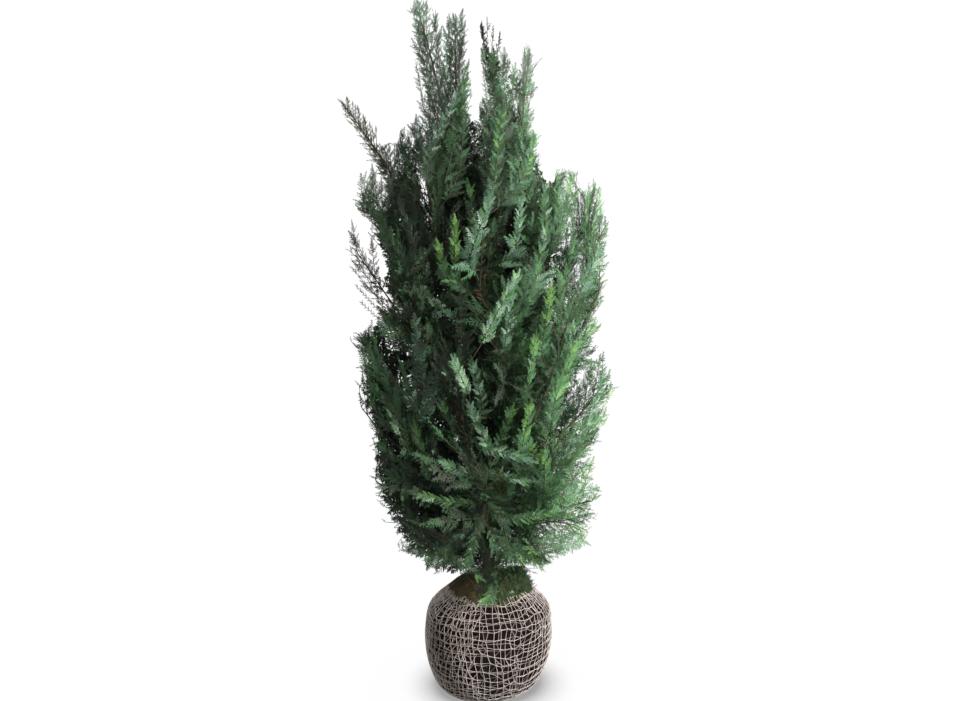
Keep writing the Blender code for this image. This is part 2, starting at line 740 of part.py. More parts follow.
def build():
    """Builds the ball, its netting, the limbs and every mass of foliage."""
    remove_all_objects()
    plant = collection("lawson_cypress")
    cutters = collection("cutters")
    bark = material("bark", (0.16, 0.085, 0.055), 0.9)
    leaf = material("foliage", (0.045, 0.12, 0.05), 0.6)
    root_ball(plant, material("soil", (0.055, 0.036, 0.026), 0.95))
    netting(plant, material("net_yarn", (0.60, 0.52, 0.45), 0.85))

    lines = {"trunk": trunk_line(), "right_leader": leader_line()}
    parents = {name: line for name, (line, _) in lines.items()}
    spaces = Spaces()
    cutter_of = {}
    for name, (line, radii) in lines.items():
        spaces.add_limb(name, line, radii)
        cutter_of[name] = limb_cutter(f"{name}_room", line, radii, cutters)
        limb = tube_mesh(name, line, radii, 2, plant)
        if name != "trunk":
            cut_to(limb, cutter_of["trunk"])
        finish_solid(limb, bark)

    for growth in planned(parents, spaces):
        name = growth.row.name
        if growth.row.bough:
            bough = tube_mesh(f"{name}_bough", growth.bare, growth.radii, 1, plant)
            cut_to(bough, cutter_of[growth.row.parent])
            finish_solid(bough, bark)
        pieces = collection("pieces")
        stem = leafy_stem(growth, parents, cutter_of, plant)
        add_core(growth.foliage, spaces, pieces)
        grow(growth.foliage, spaces, pieces)
        finish_solid(union_of(f"{name}_foliage", stem, pieces, plant), leaf)


build()
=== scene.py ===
"""The looks of a young Lawson cypress, lifted for planting, on its root ball wrapped in netting.

It stands on the ball's underside at the origin, +Z up, with its front to -Y. Sizes are in metres.
The branches have the source's own rows, lines and seeds, and the source's rule is carried on from
the stems to twigs, and from the twigs to flat sprays of scale leaves.
"""

import json
import logging
import math
import random
from dataclasses import dataclass, field
from enum import Enum
from typing import ClassVar

import bpy
import numpy as np
from bpy.types import Material, Node, NodeSocket, Object
from mathutils import Matrix, Vector, noise
from mathutils.kdtree import KDTree

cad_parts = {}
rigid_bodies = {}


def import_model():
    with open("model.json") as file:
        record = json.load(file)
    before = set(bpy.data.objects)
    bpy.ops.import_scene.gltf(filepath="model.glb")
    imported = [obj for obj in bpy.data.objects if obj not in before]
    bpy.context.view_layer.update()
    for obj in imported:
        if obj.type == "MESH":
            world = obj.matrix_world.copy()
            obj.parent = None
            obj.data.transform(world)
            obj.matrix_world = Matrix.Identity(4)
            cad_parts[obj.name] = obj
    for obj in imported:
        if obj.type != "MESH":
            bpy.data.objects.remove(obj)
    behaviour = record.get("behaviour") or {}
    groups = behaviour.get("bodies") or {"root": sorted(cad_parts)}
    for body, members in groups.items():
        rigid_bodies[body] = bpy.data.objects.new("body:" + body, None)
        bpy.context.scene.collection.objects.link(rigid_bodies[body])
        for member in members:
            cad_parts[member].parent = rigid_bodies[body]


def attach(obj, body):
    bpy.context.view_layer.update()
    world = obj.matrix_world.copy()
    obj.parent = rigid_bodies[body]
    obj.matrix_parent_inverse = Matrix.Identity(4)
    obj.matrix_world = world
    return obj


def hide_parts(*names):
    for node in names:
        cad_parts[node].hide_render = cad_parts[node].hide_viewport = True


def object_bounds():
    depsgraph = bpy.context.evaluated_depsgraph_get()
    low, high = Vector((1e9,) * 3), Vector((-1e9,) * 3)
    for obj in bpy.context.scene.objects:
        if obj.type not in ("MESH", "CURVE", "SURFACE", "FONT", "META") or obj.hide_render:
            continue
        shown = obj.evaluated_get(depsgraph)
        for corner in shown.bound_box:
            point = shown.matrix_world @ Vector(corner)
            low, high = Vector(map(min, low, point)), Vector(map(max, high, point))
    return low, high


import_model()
CAD_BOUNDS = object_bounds()

Colour = tuple[float, float, float]
LOG = logging.getLogger("cypress")
BODY = "root"
FIT_GAP = 0.0003
SEED = 1871
CAMERA_PLACE = (-0.012, -2.9, 1.5)

# The root ball's side, as radius and height, and how the soil has settled out of round.
BALL_PROFILE = (
    (0.137, 0.000),
    (0.160, 0.024),
    (0.183, 0.080),
    (0.194, 0.145),
    (0.192, 0.200),
    (0.176, 0.252),
    (0.134, 0.295),
    (0.098, 0.322),
    (0.046, 0.342),
)
SOIL_TOP = BALL_PROFILE[-1][1]
SLUMP_SHIFT = -0.006
SLUMP_WAVES = ((2, 0.6, 0.016), (3, 2.1, 0.012))

# The trunk and the right leader: places above the soil, and radii at foot and top.
TRUNK_FOOT = SOIL_TOP + FIT_GAP
TRUNK_WAY = (
    (0.0, 0.0, 0.0),
    (-0.004, 0.0, 0.20),
    (-0.020, 0.0, 0.46),
    (-0.064, 0.006, 0.86),
    (-0.116, 0.004, 1.28),
)
TRUNK_RADII = (0.0170, 0.0048)
FLARE_HEIGHT = 0.075
FLARE_SHARE = 0.55
FOOT_STEPS = (0.0, 0.016, 0.045)
LEADER_WAY = ((-0.010, 0.0, 0.30), (0.026, 0.004, 0.52), (0.044, 0.0, 0.84), (0.050, 0.0, 1.14))
LEADER_RADII = (0.0105, 0.0044)
BOUGH_RADII = (0.0062, 0.0034)
STEM_RADII = (0.0036, 0.0014)
STEM_FOOT = 1.25
TWIG_RADII = (0.0016, 0.0006)
LIMB_STEPS = 12
WAY_STEPS = 25
LEAFY_STEPS = 9
UPTURN = 0.28
DROOP = -0.05
GOLDEN_TURN = 2.399963
TOP = None


class Bow(Enum):
    """How a branch bends: where its middle lies, as shares of its reach and rise, and a lift by its reach."""

    RISING = (0.68, 0.38, 0.0)
    STRAIGHT = (0.54, 0.50, 0.0)
    ARCHING = (0.50, 0.64, 0.0)
    LEVEL = (0.60, 0.55, 0.10)
    DROOPING = (0.58, 0.50, 0.34)


@dataclass(frozen=True)
class Branch:
    """A branch by its sizes: height of its foot, bearing from +X in degrees, reach and height of its tip.

    A branch with its foot at TOP carries its parent's own end on.
    """

    name: str
    parent: str
    foot: float | None
    bearing: float
    reach: float
    tip: float
    bow: Bow
    half_width: float
    bough: bool = False
    bare: float = 0.20


BRANCHES = (
    Branch("left_crest", "trunk", TOP, 188, 0.207, 2.02, Bow.ARCHING, 0.058, bare=0.0),
    Branch("left_crest_inner", "trunk", 1.42, 146, 0.117, 1.98, Bow.STRAIGHT, 0.062),
    Branch("right_crest", "right_leader", TOP, 240, 0.052, 1.93, Bow.STRAIGHT, 0.070, bare=0.0),
    Branch("right_crest_outer", "right_leader", 1.30, 21, 0.124, 1.90, Bow.STRAIGHT, 0.064),
    Branch("left_arch", "trunk", 1.12, 183, 0.430, 1.77, Bow.ARCHING, 0.046, bough=True, bare=0.30),
    Branch("left_tuft", "trunk", 1.20, 170, 0.275, 1.68, Bow.STRAIGHT, 0.058),
    Branch("upper_left", "trunk", 0.98, 191, 0.395, 1.55, Bow.STRAIGHT, 0.078, bough=True),
    Branch("left_feather", "trunk", 0.82, 184, 0.403, 1.365, Bow.STRAIGHT, 0.066, bough=True, bare=0.30),
    Branch("mid_left", "trunk", 0.68, 194, 0.400, 1.14, Bow.RISING, 0.084, bough=True),
    Branch("left_side", "trunk", 0.56, 172, 0.412, 0.89, Bow.RISING, 0.084),
    Branch("lower_left", "trunk", 0.485, 194, 0.362, 0.69, Bow.RISING, 0.080, bough=True),
    Branch("low_left", "trunk", 0.430, 174, 0.300, 0.475, Bow.DROOPING, 0.074),
    Branch("foot_left", "trunk", 0.395, 146, 0.205, 0.385, Bow.DROOPING, 0.056),
    Branch("foot_front", "trunk", 0.385, 258, 0.185, 0.325, Bow.DROOPING, 0.054),
    Branch("foot_right", "trunk", 0.400, 342, 0.210, 0.395, Bow.DROOPING, 0.056),
    Branch("low_right", "trunk", 0.435, 12, 0.325, 0.455, Bow.DROOPING, 0.074, bough=True),
    Branch("lower_right", "trunk", 0.470, 346, 0.336, 0.61, Bow.LEVEL, 0.080),
    Branch("right_side", "trunk", 0.54, 10, 0.354, 0.80, Bow.RISING, 0.084, bough=True),
    Branch("mid_right", "trunk", 0.64, 348, 0.352, 0.98, Bow.RISING, 0.084, bough=True),
    Branch("upper_right_low", "right_leader", 0.80, 2, 0.348, 1.28, Bow.RISING, 0.085, bough=True),
    Branch("right_outer", "right_leader", 0.92, 350, 0.338, 1.43, Bow.RISING, 0.074),
    Branch("upper_right", "right_leader", 1.00, 12, 0.328, 1.54, Bow.RISING, 0.078),
    Branch("right_tuft", "right_leader", 1.10, 338, 0.215, 1.58, Bow.STRAIGHT, 0.070),
    Branch("front_left_top", "trunk", 1.34, 231, 0.135, 1.76, Bow.RISING, 0.066),
    Branch("front_right_top", "right_leader", 1.20, 290, 0.115, 1.74, Bow.RISING, 0.066),
    Branch("front_left_high", "trunk", 1.06, 232, 0.245, 1.48, Bow.RISING, 0.076),
    Branch("front_right_high", "right_leader", 0.92, 308, 0.215, 1.49, Bow.RISING, 0.076),
    Branch("front_high", "trunk", 0.90, 268, 0.225, 1.485, Bow.RISING, 0.076),
    Branch("front_left_fan", "trunk", 0.74, 218, 0.300, 1.33, Bow.RISING, 0.082),
    Branch("front_right_mid", "trunk", 0.70, 284, 0.285, 1.25, Bow.RISING, 0.082),
    Branch("front_right_fan", "trunk", 0.60, 318, 0.290, 1.16, Bow.RISING, 0.082),
    Branch("front_mid", "trunk", 0.60, 252, 0.318, 1.06, Bow.RISING, 0.082, bough=True),
    Branch("front_left_low", "trunk", 0.54, 224, 0.325, 0.86, Bow.RISING, 0.090),
    Branch("front_low", "trunk", 0.46, 268, 0.300, 0.76, Bow.RISING, 0.080),
    Branch("front_right_low", "trunk", 0.50, 306, 0.310, 0.83, Bow.RISING, 0.082),
    Branch("skirt_left", "trunk", 0.425, 222, 0.265, 0.49, Bow.DROOPING, 0.070),
    Branch("skirt_right", "trunk", 0.430, 306, 0.250, 0.49, Bow.DROOPING, 0.070),
)

# The back of the crown, which a loop fills in on three bearings by turns, swaying a few degrees.
BACK_COUNT = 8
BACK_LEVEL_COUNT = 2
FORK_CLEAR = 0.68
BACK_TIPS = (0.50, 1.66)
BACK_FOOT_CLEAR = 0.07
BACK_RISE = 0.44
BACK_RISE_SHARES = (0.35, 0.65)
BACK_DROP = 0.02
BACK_BEARINGS = (38, 142, 88)
BACK_SWAY = 9
BACK_SWAY_TURN = 2.4
BACK_HALF_WIDTH = 0.082

# How far the crown reaches from its upright axis, height by height.
CROWN_HEIGHTS = (0.40, 0.60, 0.85, 1.20, 1.50, 1.75, 2.00)
CROWN_REACHES = (0.25, 0.33, 0.37, 0.36, 0.31, 0.17, 0.08)


def crown_reach(height: float) -> float:
    """How far the crown reaches from its upright axis at a height above the ground."""
    return float(np.interp(height, CROWN_HEIGHTS, CROWN_REACHES))


def back_branches() -> list[Branch]:
    """The rows of the branches behind, spaced evenly up the crown on three bearings in turn.

    Returns:
        The rows, from the lowest up.
    """
    rows = []
    for index in range(BACK_COUNT):
        share = index / (BACK_COUNT - 1)
        tip = BACK_TIPS[0] + share * (BACK_TIPS[1] - BACK_TIPS[0])
        rise = BACK_RISE * (BACK_RISE_SHARES[0] + BACK_RISE_SHARES[1] * share)
        foot = max(SOIL_TOP + BACK_FOOT_CLEAR, tip - rise - BACK_DROP)
        bearing = BACK_BEARINGS[index % len(BACK_BEARINGS)] + BACK_SWAY * math.sin(BACK_SWAY_TURN * index)
        parent = "right_leader" if bearing < 90 and foot > FORK_CLEAR else "trunk"
        bow = Bow.LEVEL if index < BACK_LEVEL_COUNT else Bow.RISING
        reach = crown_reach(tip)
        rows.append(Branch(f"back_{index + 1}", parent, foot, bearing, reach, tip, bow, BACK_HALF_WIDTH))
    return rows


def outward(turn: float, rise: float = 0.0) -> Vector:
    """The direction at a turn from +X, in radians, with a rise."""
    return Vector((math.cos(turn), math.sin(turn), rise))


def sideways(turn: float) -> Vector:
    """The level direction a quarter turn to the left of a turn from +X."""
    return Vector((-math.sin(turn), math.cos(turn), 0.0))


def squared(way: Vector, axis: Vector) -> Vector:
    """A direction, leant over until it is square to an axis."""
    return (way - axis * way.dot(axis)).normalized()


def rolled(way: Vector, axis: Vector, degrees: float) -> Vector:
    """A direction, rolled round an axis."""
    return Matrix.Rotation(math.radians(degrees), 3, axis) @ way


def leaving(
    axis: Vector, normal: Vector, hand: int, degrees: float, lean: float, rise: float = 0.0
) -> Vector:
    """The direction of a shoot that leaves an axis, nearly in a fan's plane.

    Args:
        axis: The axis's direction.
        normal: The fan's normal.
        hand: 1 or -1, for the side of the axis.
        degrees: The angle from the axis.
        lean: How far it leaves the fan's plane.
        rise: How far it turns up.

    Returns:
        The direction.
    """
    side = axis.cross(normal).normalized() * hand
    angle = math.radians(degrees)
    way = axis * math.cos(angle) + side * math.sin(angle) + normal * lean
    return (way + Vector((0.0, 0.0, rise))).normalized()


def smooth_way(places: tuple, steps: int) -> list[Vector]:
    """Points along one smooth curve that passes through a few places.

    Args:
        places: The places that the curve passes.
        steps: How many points it is read at.

    Returns:
        The points, from the first place to the last.
    """
    known = [Vector(p) for p in places]
    known = [2 * known[0] - known[1], *known, 2 * known[-1] - known[-2]]
    spans = len(known) - 3
    points = []
    for step in range(steps):
        at = step / (steps - 1) * spans
        i = min(int(at), spans - 1)
        t = at - i
        a, b, c, d = known[i : i + 4]
        bend = (2 * a - 5 * b + 4 * c - d) * t**2
        twist = (3 * b - a - 3 * c + d) * t**3
        points.append(0.5 * (2 * b + (c - a) * t + bend + twist))
    return points


def at_height(points: list[Vector], height: float) -> Vector:
    """The point of an upright line at a height.

    Args:
        points: The line, from its foot up.
        height: Height above the ground.

    Returns:
        The point.
    """
    heights = [p.z for p in points]
    return Vector([float(np.interp(height, heights, [p[axis] for p in points])) for axis in range(3)])


def along(points: list[Vector], share: float) -> tuple[Vector, Vector]:
    """The point at a share of a line's steps.

    Args:
        points: The line.
        share: From 0 at its start to 1 at its end.

    Returns:
        The point, and the line's direction there.
    """
    at = share * (len(points) - 1)
    i = min(int(at), len(points) - 2)
    step = points[i + 1] - points[i]
    return points[i] + step * (at - i), step.normalized()


def split_way(points: list[Vector], share: float) -> tuple[list[Vector], list[Vector]]:
    """A line cut in two.

    Args:
        points: The line.
        share: Where it is cut, as a share of its steps.

    Returns:
        The stretch before the cut and the one after it.
    """
    middle, _ = along(points, share)
    whole = int(share * (len(points) - 1))
    return [*points[: whole + 1], middle], [middle, *points[whole + 1 :]]


def marks(points: list[Vector]) -> np.ndarray:
    """How far along a line each of its points lies, from 0 to the line's length."""
    return np.cumsum([0.0] + [(b - a).length for a, b in zip(points, points[1:])])


def resampled(points: list[Vector], steps: int) -> list[Vector]:
    """A line with evenly spaced points.

    Args:
        points: The line.
        steps: How many points it gets.

    Returns:
        The new points.
    """
    lengths = marks(points)
    wanted = np.linspace(0.0, lengths[-1], steps)
    columns = [np.interp(wanted, lengths, [p[axis] for p in points]) for axis in range(3)]
    return [Vector(place) for place in zip(*columns)]


def bent_way(foot: Vector, middle: Vector, tip: Vector, steps: int) -> list[Vector]:
    """A quadratic curve from a foot to a tip.

    Args:
        foot: Its start.
        middle: The place that draws it aside.
        tip: Its end.
        steps: How many points it is read at.

    Returns:
        The points.
    """
    shares = [step / (steps - 1) for step in range(steps)]
    return [foot * (1 - t) ** 2 + middle * (2 * t * (1 - t)) + tip * t**2 for t in shares]


def bowed(start: Vector, direction: Vector, length: float, lift: float, steps: int = 7) -> list[Vector]:
    """A line that sets out one way and bows up or down.

    Args:
        start: Its start.
        direction: Where it sets out.
        length: Its length.
        lift: How far it turns up, or down below 0, by the time it ends.
        steps: How many points it has.

    Returns:
        The points.
    """
    points = [start]
    heading = direction
    for _ in range(steps - 1):
        points.append(points[-1] + heading * (length / (steps - 1)))
        heading = (heading + Vector((0.0, 0.0, lift / (steps - 1)))).normalized()
    return points


def even_radii(ends: tuple[float, float], steps: int) -> list[float]:
    """Radii that taper evenly from the first of two to the last, in so many steps."""
    return [ends[0] + (ends[1] - ends[0]) * step / (steps - 1) for step in range(steps)]


def trunk_line() -> tuple[list[Vector], list[float]]:
    """The trunk's middle line, with its foot upright, and its radii, flared at the foot.

    Returns:
        The points and the radii.
    """
    points = smooth_way(TRUNK_WAY, LIMB_STEPS)
    points = [*(Vector((0, 0, height)) for height in FOOT_STEPS), *points[1:]]
    points = [p + Vector((0, 0, TRUNK_FOOT)) for p in points]
    radii = []
    for point in points:
        height = point.z - TRUNK_FOOT
        share = height / (points[-1].z - TRUNK_FOOT)
        flare = FLARE_SHARE * max(0.0, 1 - height / FLARE_HEIGHT) ** 2
        radii.append((TRUNK_RADII[0] + (TRUNK_RADII[1] - TRUNK_RADII[0]) * share) * (1 + flare))
    return points, radii


def leader_line() -> tuple[list[Vector], list[float]]:
    """The right leader's middle line and radii, from inside the trunk up."""
    points = [p + Vector((0, 0, TRUNK_FOOT)) for p in smooth_way(LEADER_WAY, LIMB_STEPS)]
    return points, even_radii(LEADER_RADII, LIMB_STEPS)


def branch_way(row: Branch, parents: dict[str, list[Vector]], steps: int) -> list[Vector]:
    """The line of a whole branch, from its parent's middle or end to its tip, as a quadratic curve.

    Args:
        row: The branch's sizes.
        parents: The line of each limb that carries branches.
        steps: How many points the line gets.

    Returns:
        The points.
    """
    parent = parents[row.parent]
    foot = parent[-1] if row.foot is TOP else at_height(parent, row.foot)
    turn = math.radians(row.bearing)
    tip = Vector((row.reach * math.cos(turn), row.reach * math.sin(turn), row.tip))
    out, rise, lift = row.bow.value
    flat = Vector((tip.x - foot.x, tip.y - foot.y, 0.0))
    middle = foot + flat * out + Vector((0.0, 0.0, (tip.z - foot.z) * rise + flat.length * lift))
    if row.foot is TOP:
        middle = foot + (parent[-1] - parent[-2]).normalized() * ((tip - foot).length * 0.5)
    return bent_way(foot, middle, tip, steps)


def slumped(x: float, y: float, z: float) -> tuple[float, float, float]:
    """A point of the turned ball, moved as its soil has settled.

    Args:
        x: Its place before, to the right.
        y: Its place before, to the back.
        z: Its height, which stays.

    Returns:
        The new place.
    """
    turn = math.atan2(y, x)
    grow = 1 + sum(size * math.sin(waves * turn + phase) for waves, phase, size in SLUMP_WAVES)
    return x * grow + SLUMP_SHIFT * max(0.0, 1 - z / SOIL_TOP), y * grow, z


def tree_of(points: list[Vector]) -> KDTree:
    """A tree that finds the nearest of some points.

    Args:
        points: The points.

    Returns:
        The tree.
    """
    tree = KDTree(len(points))
    for index, point in enumerate(points):
        tree.insert(point, index)
    tree.balance()
    return tree


def deselect_all() -> None:
    """Leaves nothing selected, for the next operator acts on all that is."""
    if bpy.context.object and bpy.context.object.mode != "OBJECT":
        bpy.ops.object.mode_set(mode="OBJECT")
    bpy.ops.object.select_all(action="DESELECT")


def pick(obj: Object) -> None:
    """Makes an object the only one selected, and the active one.

    Args:
        obj: The object.
    """
    deselect_all()
    obj.select_set(True)
    bpy.context.view_layer.objects.active = obj


def apply_modifier(obj: Object, kind: str, **settings: object) -> None:
    """Adds a modifier and applies it.

    Args:
        obj: The object it works on.
        kind: The modifier's type.
        settings: Its values by name.
    """
    pick(obj)
    made = obj.modifiers.new(kind.lower(), kind)
    for name, value in settings.items():
        setattr(made, name, value)
    bpy.ops.object.modifier_apply(modifier=made.name)


def subdivide(obj: Object, levels: int) -> None:
    """Cuts each of a mesh's faces into four, as many times as there are levels."""
    apply_modifier(obj, "SUBSURF", subdivision_type="SIMPLE", levels=levels, render_levels=levels)


def start_rings(sides: int, radius: float, closed: bool, place: Vector, axis: Vector) -> Object:
    """Adds a circle and leaves it open for editing, with all of it selected.

    Args:
        sides: How many sides it has.
        radius: Its radius.
        closed: Whether a face fills it.
        place: Its middle.
        axis: Where it faces.

    Returns:
        The circle.
    """
    deselect_all()
    bpy.ops.mesh.primitive_circle_add(
        vertices=sides,
        radius=radius,
        fill_type="NGON" if closed else "NOTHING",
        location=place,
        rotation=axis.to_track_quat("Z", "Y").to_euler(),
    )
    made = bpy.context.object
    bpy.ops.object.mode_set(mode="EDIT")
    bpy.ops.mesh.select_all(action="SELECT")
    return made


def end_rings() -> None:
    """Faces the edited shape's surface outwards, and ends the edit."""
    bpy.ops.mesh.select_all(action="SELECT")
    bpy.ops.mesh.normals_make_consistent(inside=False)
    bpy.ops.object.mode_set(mode="OBJECT")
    bpy.ops.object.transform_apply(location=True, rotation=True, scale=True)


@dataclass(frozen=True)
class Relief:
    """A soft random relief: the size of its lumps, how many finer layers it has, and how deep it is.

    Its lumps are some times longer along Z than across.
    """

    name: str
    lump: float
    layers: int
    depth: float
    stretch: float = 1.0

    def press(self, obj: Object) -> None:
        """Moves a mesh's points along their normals by the relief.

        Args:
            obj: The mesh.
        """
        texture = bpy.data.textures.new(self.name, "CLOUDS")
        texture.noise_scale = self.lump
        texture.noise_depth = self.layers
        deselect_all()
        bpy.ops.object.empty_add(location=(0.0, 0.0, 0.0))
        guide = bpy.context.object
        guide.scale = (1.0, 1.0, self.stretch)
        bpy.context.view_layer.update()
        settings = {"texture": texture, "texture_coords": "OBJECT", "texture_coords_object": guide}
        apply_modifier(obj, "DISPLACE", **settings, strength=self.depth, mid_level=0.5)
        bpy.data.objects.remove(guide)


def finish_piece(
    obj: Object, name: str, finish: Material, slot: str, *nodes: str, smooth: bool = True
) -> None:
    """Names a piece, gives it its material and ties it to the frame.

    Args:
        obj: The piece.
        name: Its name.
        finish: Its material.
        slot: The record's material slot that it belongs to; it is not used.
        nodes: The CAD nodes that it stands for.
        smooth: Whether it is shaded as a smooth surface.
    """
    obj.name = obj.data.name = name
    obj.data.materials.clear()
    obj.data.materials.append(finish)
    if smooth:
        obj.data.shade_smooth()
    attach(obj, BODY)
    if nodes:
        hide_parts(*nodes)
    LOG.info("%s: %d faces", name, len(obj.data.polygons))


class NodeSheet:
    """A material's node tree, with short ways to lay nodes on it."""

    def __init__(self, name: str, roughness: float, specular: float) -> None:
        """Starts a material with its Principled shader and Object coordinates.

        Args:
            name: The material's name.
            roughness: The shader's roughness.
            specular: How strongly it mirrors.
        """
        self.material = bpy.data.materials.new(name)
        self.material.use_nodes = True
        self.tree = self.material.node_tree
        self.shader = self.tree.nodes["Principled BSDF"]
        self.shade(Roughness=roughness, Specular_IOR_Level=specular)
        self.coordinates = self.tree.nodes.new("ShaderNodeTexCoord").outputs["Object"]

    def feed(self, node: Node, inputs: dict) -> None:
        """Gives a node's inputs what they read.

        Args:
            node: The node.
            inputs: A socket or a plain value for each input.
        """
        for key, value in inputs.items():
            if isinstance(value, NodeSocket):
                self.tree.links.new(value, node.inputs[key])
            else:
                node.inputs[key].default_value = value

    def shade(self, **inputs: object) -> None:
        """Gives the shader's inputs what they read, by their names with low lines for the spaces."""
        self.feed(self.shader, {name.replace("_", " "): value for name, value in inputs.items()})

    def lay(self, kind: str, output: str, inputs: dict, **settings: str) -> NodeSocket:
        """Lays a node.

        Args:
            kind: Its type, after the words that every shader node's type starts with.
            output: The output that is wanted.
            inputs: A socket or a plain value for each input.
            settings: Its own values by name, which are set first.

        Returns:
            The output.
        """
        made = self.tree.nodes.new("ShaderNode" + kind)
        for name, value in settings.items():
            setattr(made, name, value)
        self.feed(made, inputs)
        return made.outputs[output]

    def stretched(self, scale: tuple[float, float, float]) -> NodeSocket:
        """Object coordinates, scaled on each axis."""
        return self.lay("Mapping", "Vector", {"Scale": scale, "Vector": self.coordinates})

    def noise(self, scale: float, detail: float, vector: NodeSocket | None = None) -> NodeSocket:
        """A noise pattern, by its lumps to the metre and its finer layers, on Object or other coordinates."""
        inputs = {"Scale": scale, "Detail": detail, "Vector": vector or self.coordinates}
        return self.lay("TexNoise", "Fac", inputs)

    def leaning(self, factor: NodeSocket, slope: float) -> NodeSocket:
        """A factor that grows along X, by a slope to the metre."""
        across = self.lay("SeparateXYZ", "X", {"Vector": self.coordinates})
        return self.lay("Math", "Value", {0: across, 1: slope, 2: factor}, operation="MULTIPLY_ADD")

    def ramp(self, factor: NodeSocket, stops: tuple) -> NodeSocket:
        """Colours dealt out by a factor.

        Args:
            factor: What the ramp reads.
            stops: Pairs of a place from 0 to 1 and a colour.

        Returns:
            The colour.
        """
        made = self.tree.nodes.new("ShaderNodeValToRGB")
        line = made.color_ramp.elements
        while len(line) < len(stops):
            line.new(0.5)
        for stop, (place, colour) in zip(line, stops):
            stop.position = place
            stop.color = (*colour, 1.0)
        self.feed(made, {"Fac": factor})
        return made.outputs["Color"]

    def share(self, factor: NodeSocket, low: float, high: float, most: float = 1.0) -> NodeSocket:
        """A share for a mix, which grows from none where a factor is low to the most where it is high."""
        return self.ramp(factor, ((low, (0.0,) * 3), (high, (most,) * 3)))

    def mixed(self, share: NodeSocket | float, first: NodeSocket, second: NodeSocket) -> NodeSocket:
        """Two colours mixed, with none of the second at a share of 0."""
        return self.lay("Mix", "Result", {"Factor": share, "A": first, "B": second}, data_type="RGBA")

    def bump(self, height: NodeSocket, strength: float, distance: float) -> None:
        """Raises the surface in the shader's normal, by how much shows, from 0 to 1, and how high it is."""
        inputs = {"Strength": strength, "Distance": distance, "Height": height}
        self.shade(Normal=self.lay("Bump", "Normal", inputs))


@dataclass(frozen=True)
class Finish:
    """A finish: a material of some roughness and gloss, and what each kind of finish paints on it."""

    name: str
    roughness = 0.5
    specular = 0.5

    def material(self) -> Material:
        """Makes the material.

        Returns:
            The material.
        """
        sheet = NodeSheet(self.name, self.roughness, self.specular)
        self.paint(sheet)
        return sheet.material

    def paint(self, sheet: NodeSheet) -> None:
        """Lays what this kind of finish has on the material's sheet of nodes."""
        raise NotImplementedError


@dataclass(frozen=True)
class LeafFinish(Finish):
    """The finish of a batch of sprays: one plain colour, with the soft gloss of waxy scale leaves."""

    colour: Colour
    roughness: float = 0.62
    specular: ClassVar[float] = 0.14

    def paint(self, sheet: NodeSheet) -> None:
        """Gives the sheet's shader its colour."""
        sheet.shade(Base_Color=(*self.colour, 1.0))


class Tint(Enum):
    """The greens of the sprays, from the darkest, which is partly painted shade for the inside of the crown,
    out to its fresh tips.
    """

    SHADE = LeafFinish("shaded_green", (0.040, 0.054, 0.036))
    DEEP = LeafFinish("deep_green", (0.044, 0.081, 0.041))
    MID = LeafFinish("mid_green", (0.061, 0.132, 0.060))
    FRESH = LeafFinish("fresh_green", (0.096, 0.222, 0.086))
    TIP = LeafFinish("tip_green", (0.150, 0.300, 0.084))
    BLUE = LeafFinish("waxy_blue_green", (0.108, 0.205, 0.128))
    PALE = LeafFinish("pale_underside", (0.245, 0.365, 0.250))
    LIGHT = LeafFinish("light_tip", (0.255, 0.430, 0.235))
    GREY = LeafFinish("grey_green", (0.073, 0.102, 0.070))
    OLIVE = LeafFinish("olive_green", (0.058, 0.070, 0.026))
    RUST = LeafFinish("dry_brown", (0.125, 0.074, 0.036))


GREENS = (Tint.SHADE, Tint.DEEP, Tint.MID, Tint.FRESH, Tint.TIP)
# Greys that part of the crown's left side takes, away from the key lamp: painted shade.
SHADED_GREYS = (Tint.GREY, Tint.GREY, Tint.DEEP, Tint.SHADE)


@dataclass(frozen=True)
class Tone:
    """How a plume is coloured: its green, counted from the darkest, and what may take its place.

    Its pale share of the sprays show their waxy underside. Where it names tints of its own, the
    sprays draw from those alone. Its fade is how many greens its tip is lighter than its foot.
    """

    greens: float
    pale: float = 0.0
    own: tuple[Tint, ...] = ()
    fade: float = 0.8
    spread: ClassVar[float] = 0.50
    middle: ClassVar[float] = 0.45
    underside: ClassVar[float] = 0.40

    def tint(self, share: float, dice: random.Random) -> Tint:
        """Draws a spray's tint, a little fresher towards the plume's tip.

        Args:
            share: How far up the plume the spray stands, from 0 to 1.
            dice: The seeded draws.

        Returns:
            The tint.
        """
        draw, shift = dice.random(), dice.gauss(0.0, self.spread)
        if self.own:
            return self.own[int(draw * len(self.own))]
        pale = self.pale * min(1.0, 2.0 * share)
        if draw < pale:
            return Tint.PALE if draw < self.underside * pale and share > self.underside else Tint.BLUE
        greens = self.greens + shift + self.fade * (share - self.middle)
        return GREENS[max(0, min(len(GREENS) - 1, round(greens)))]


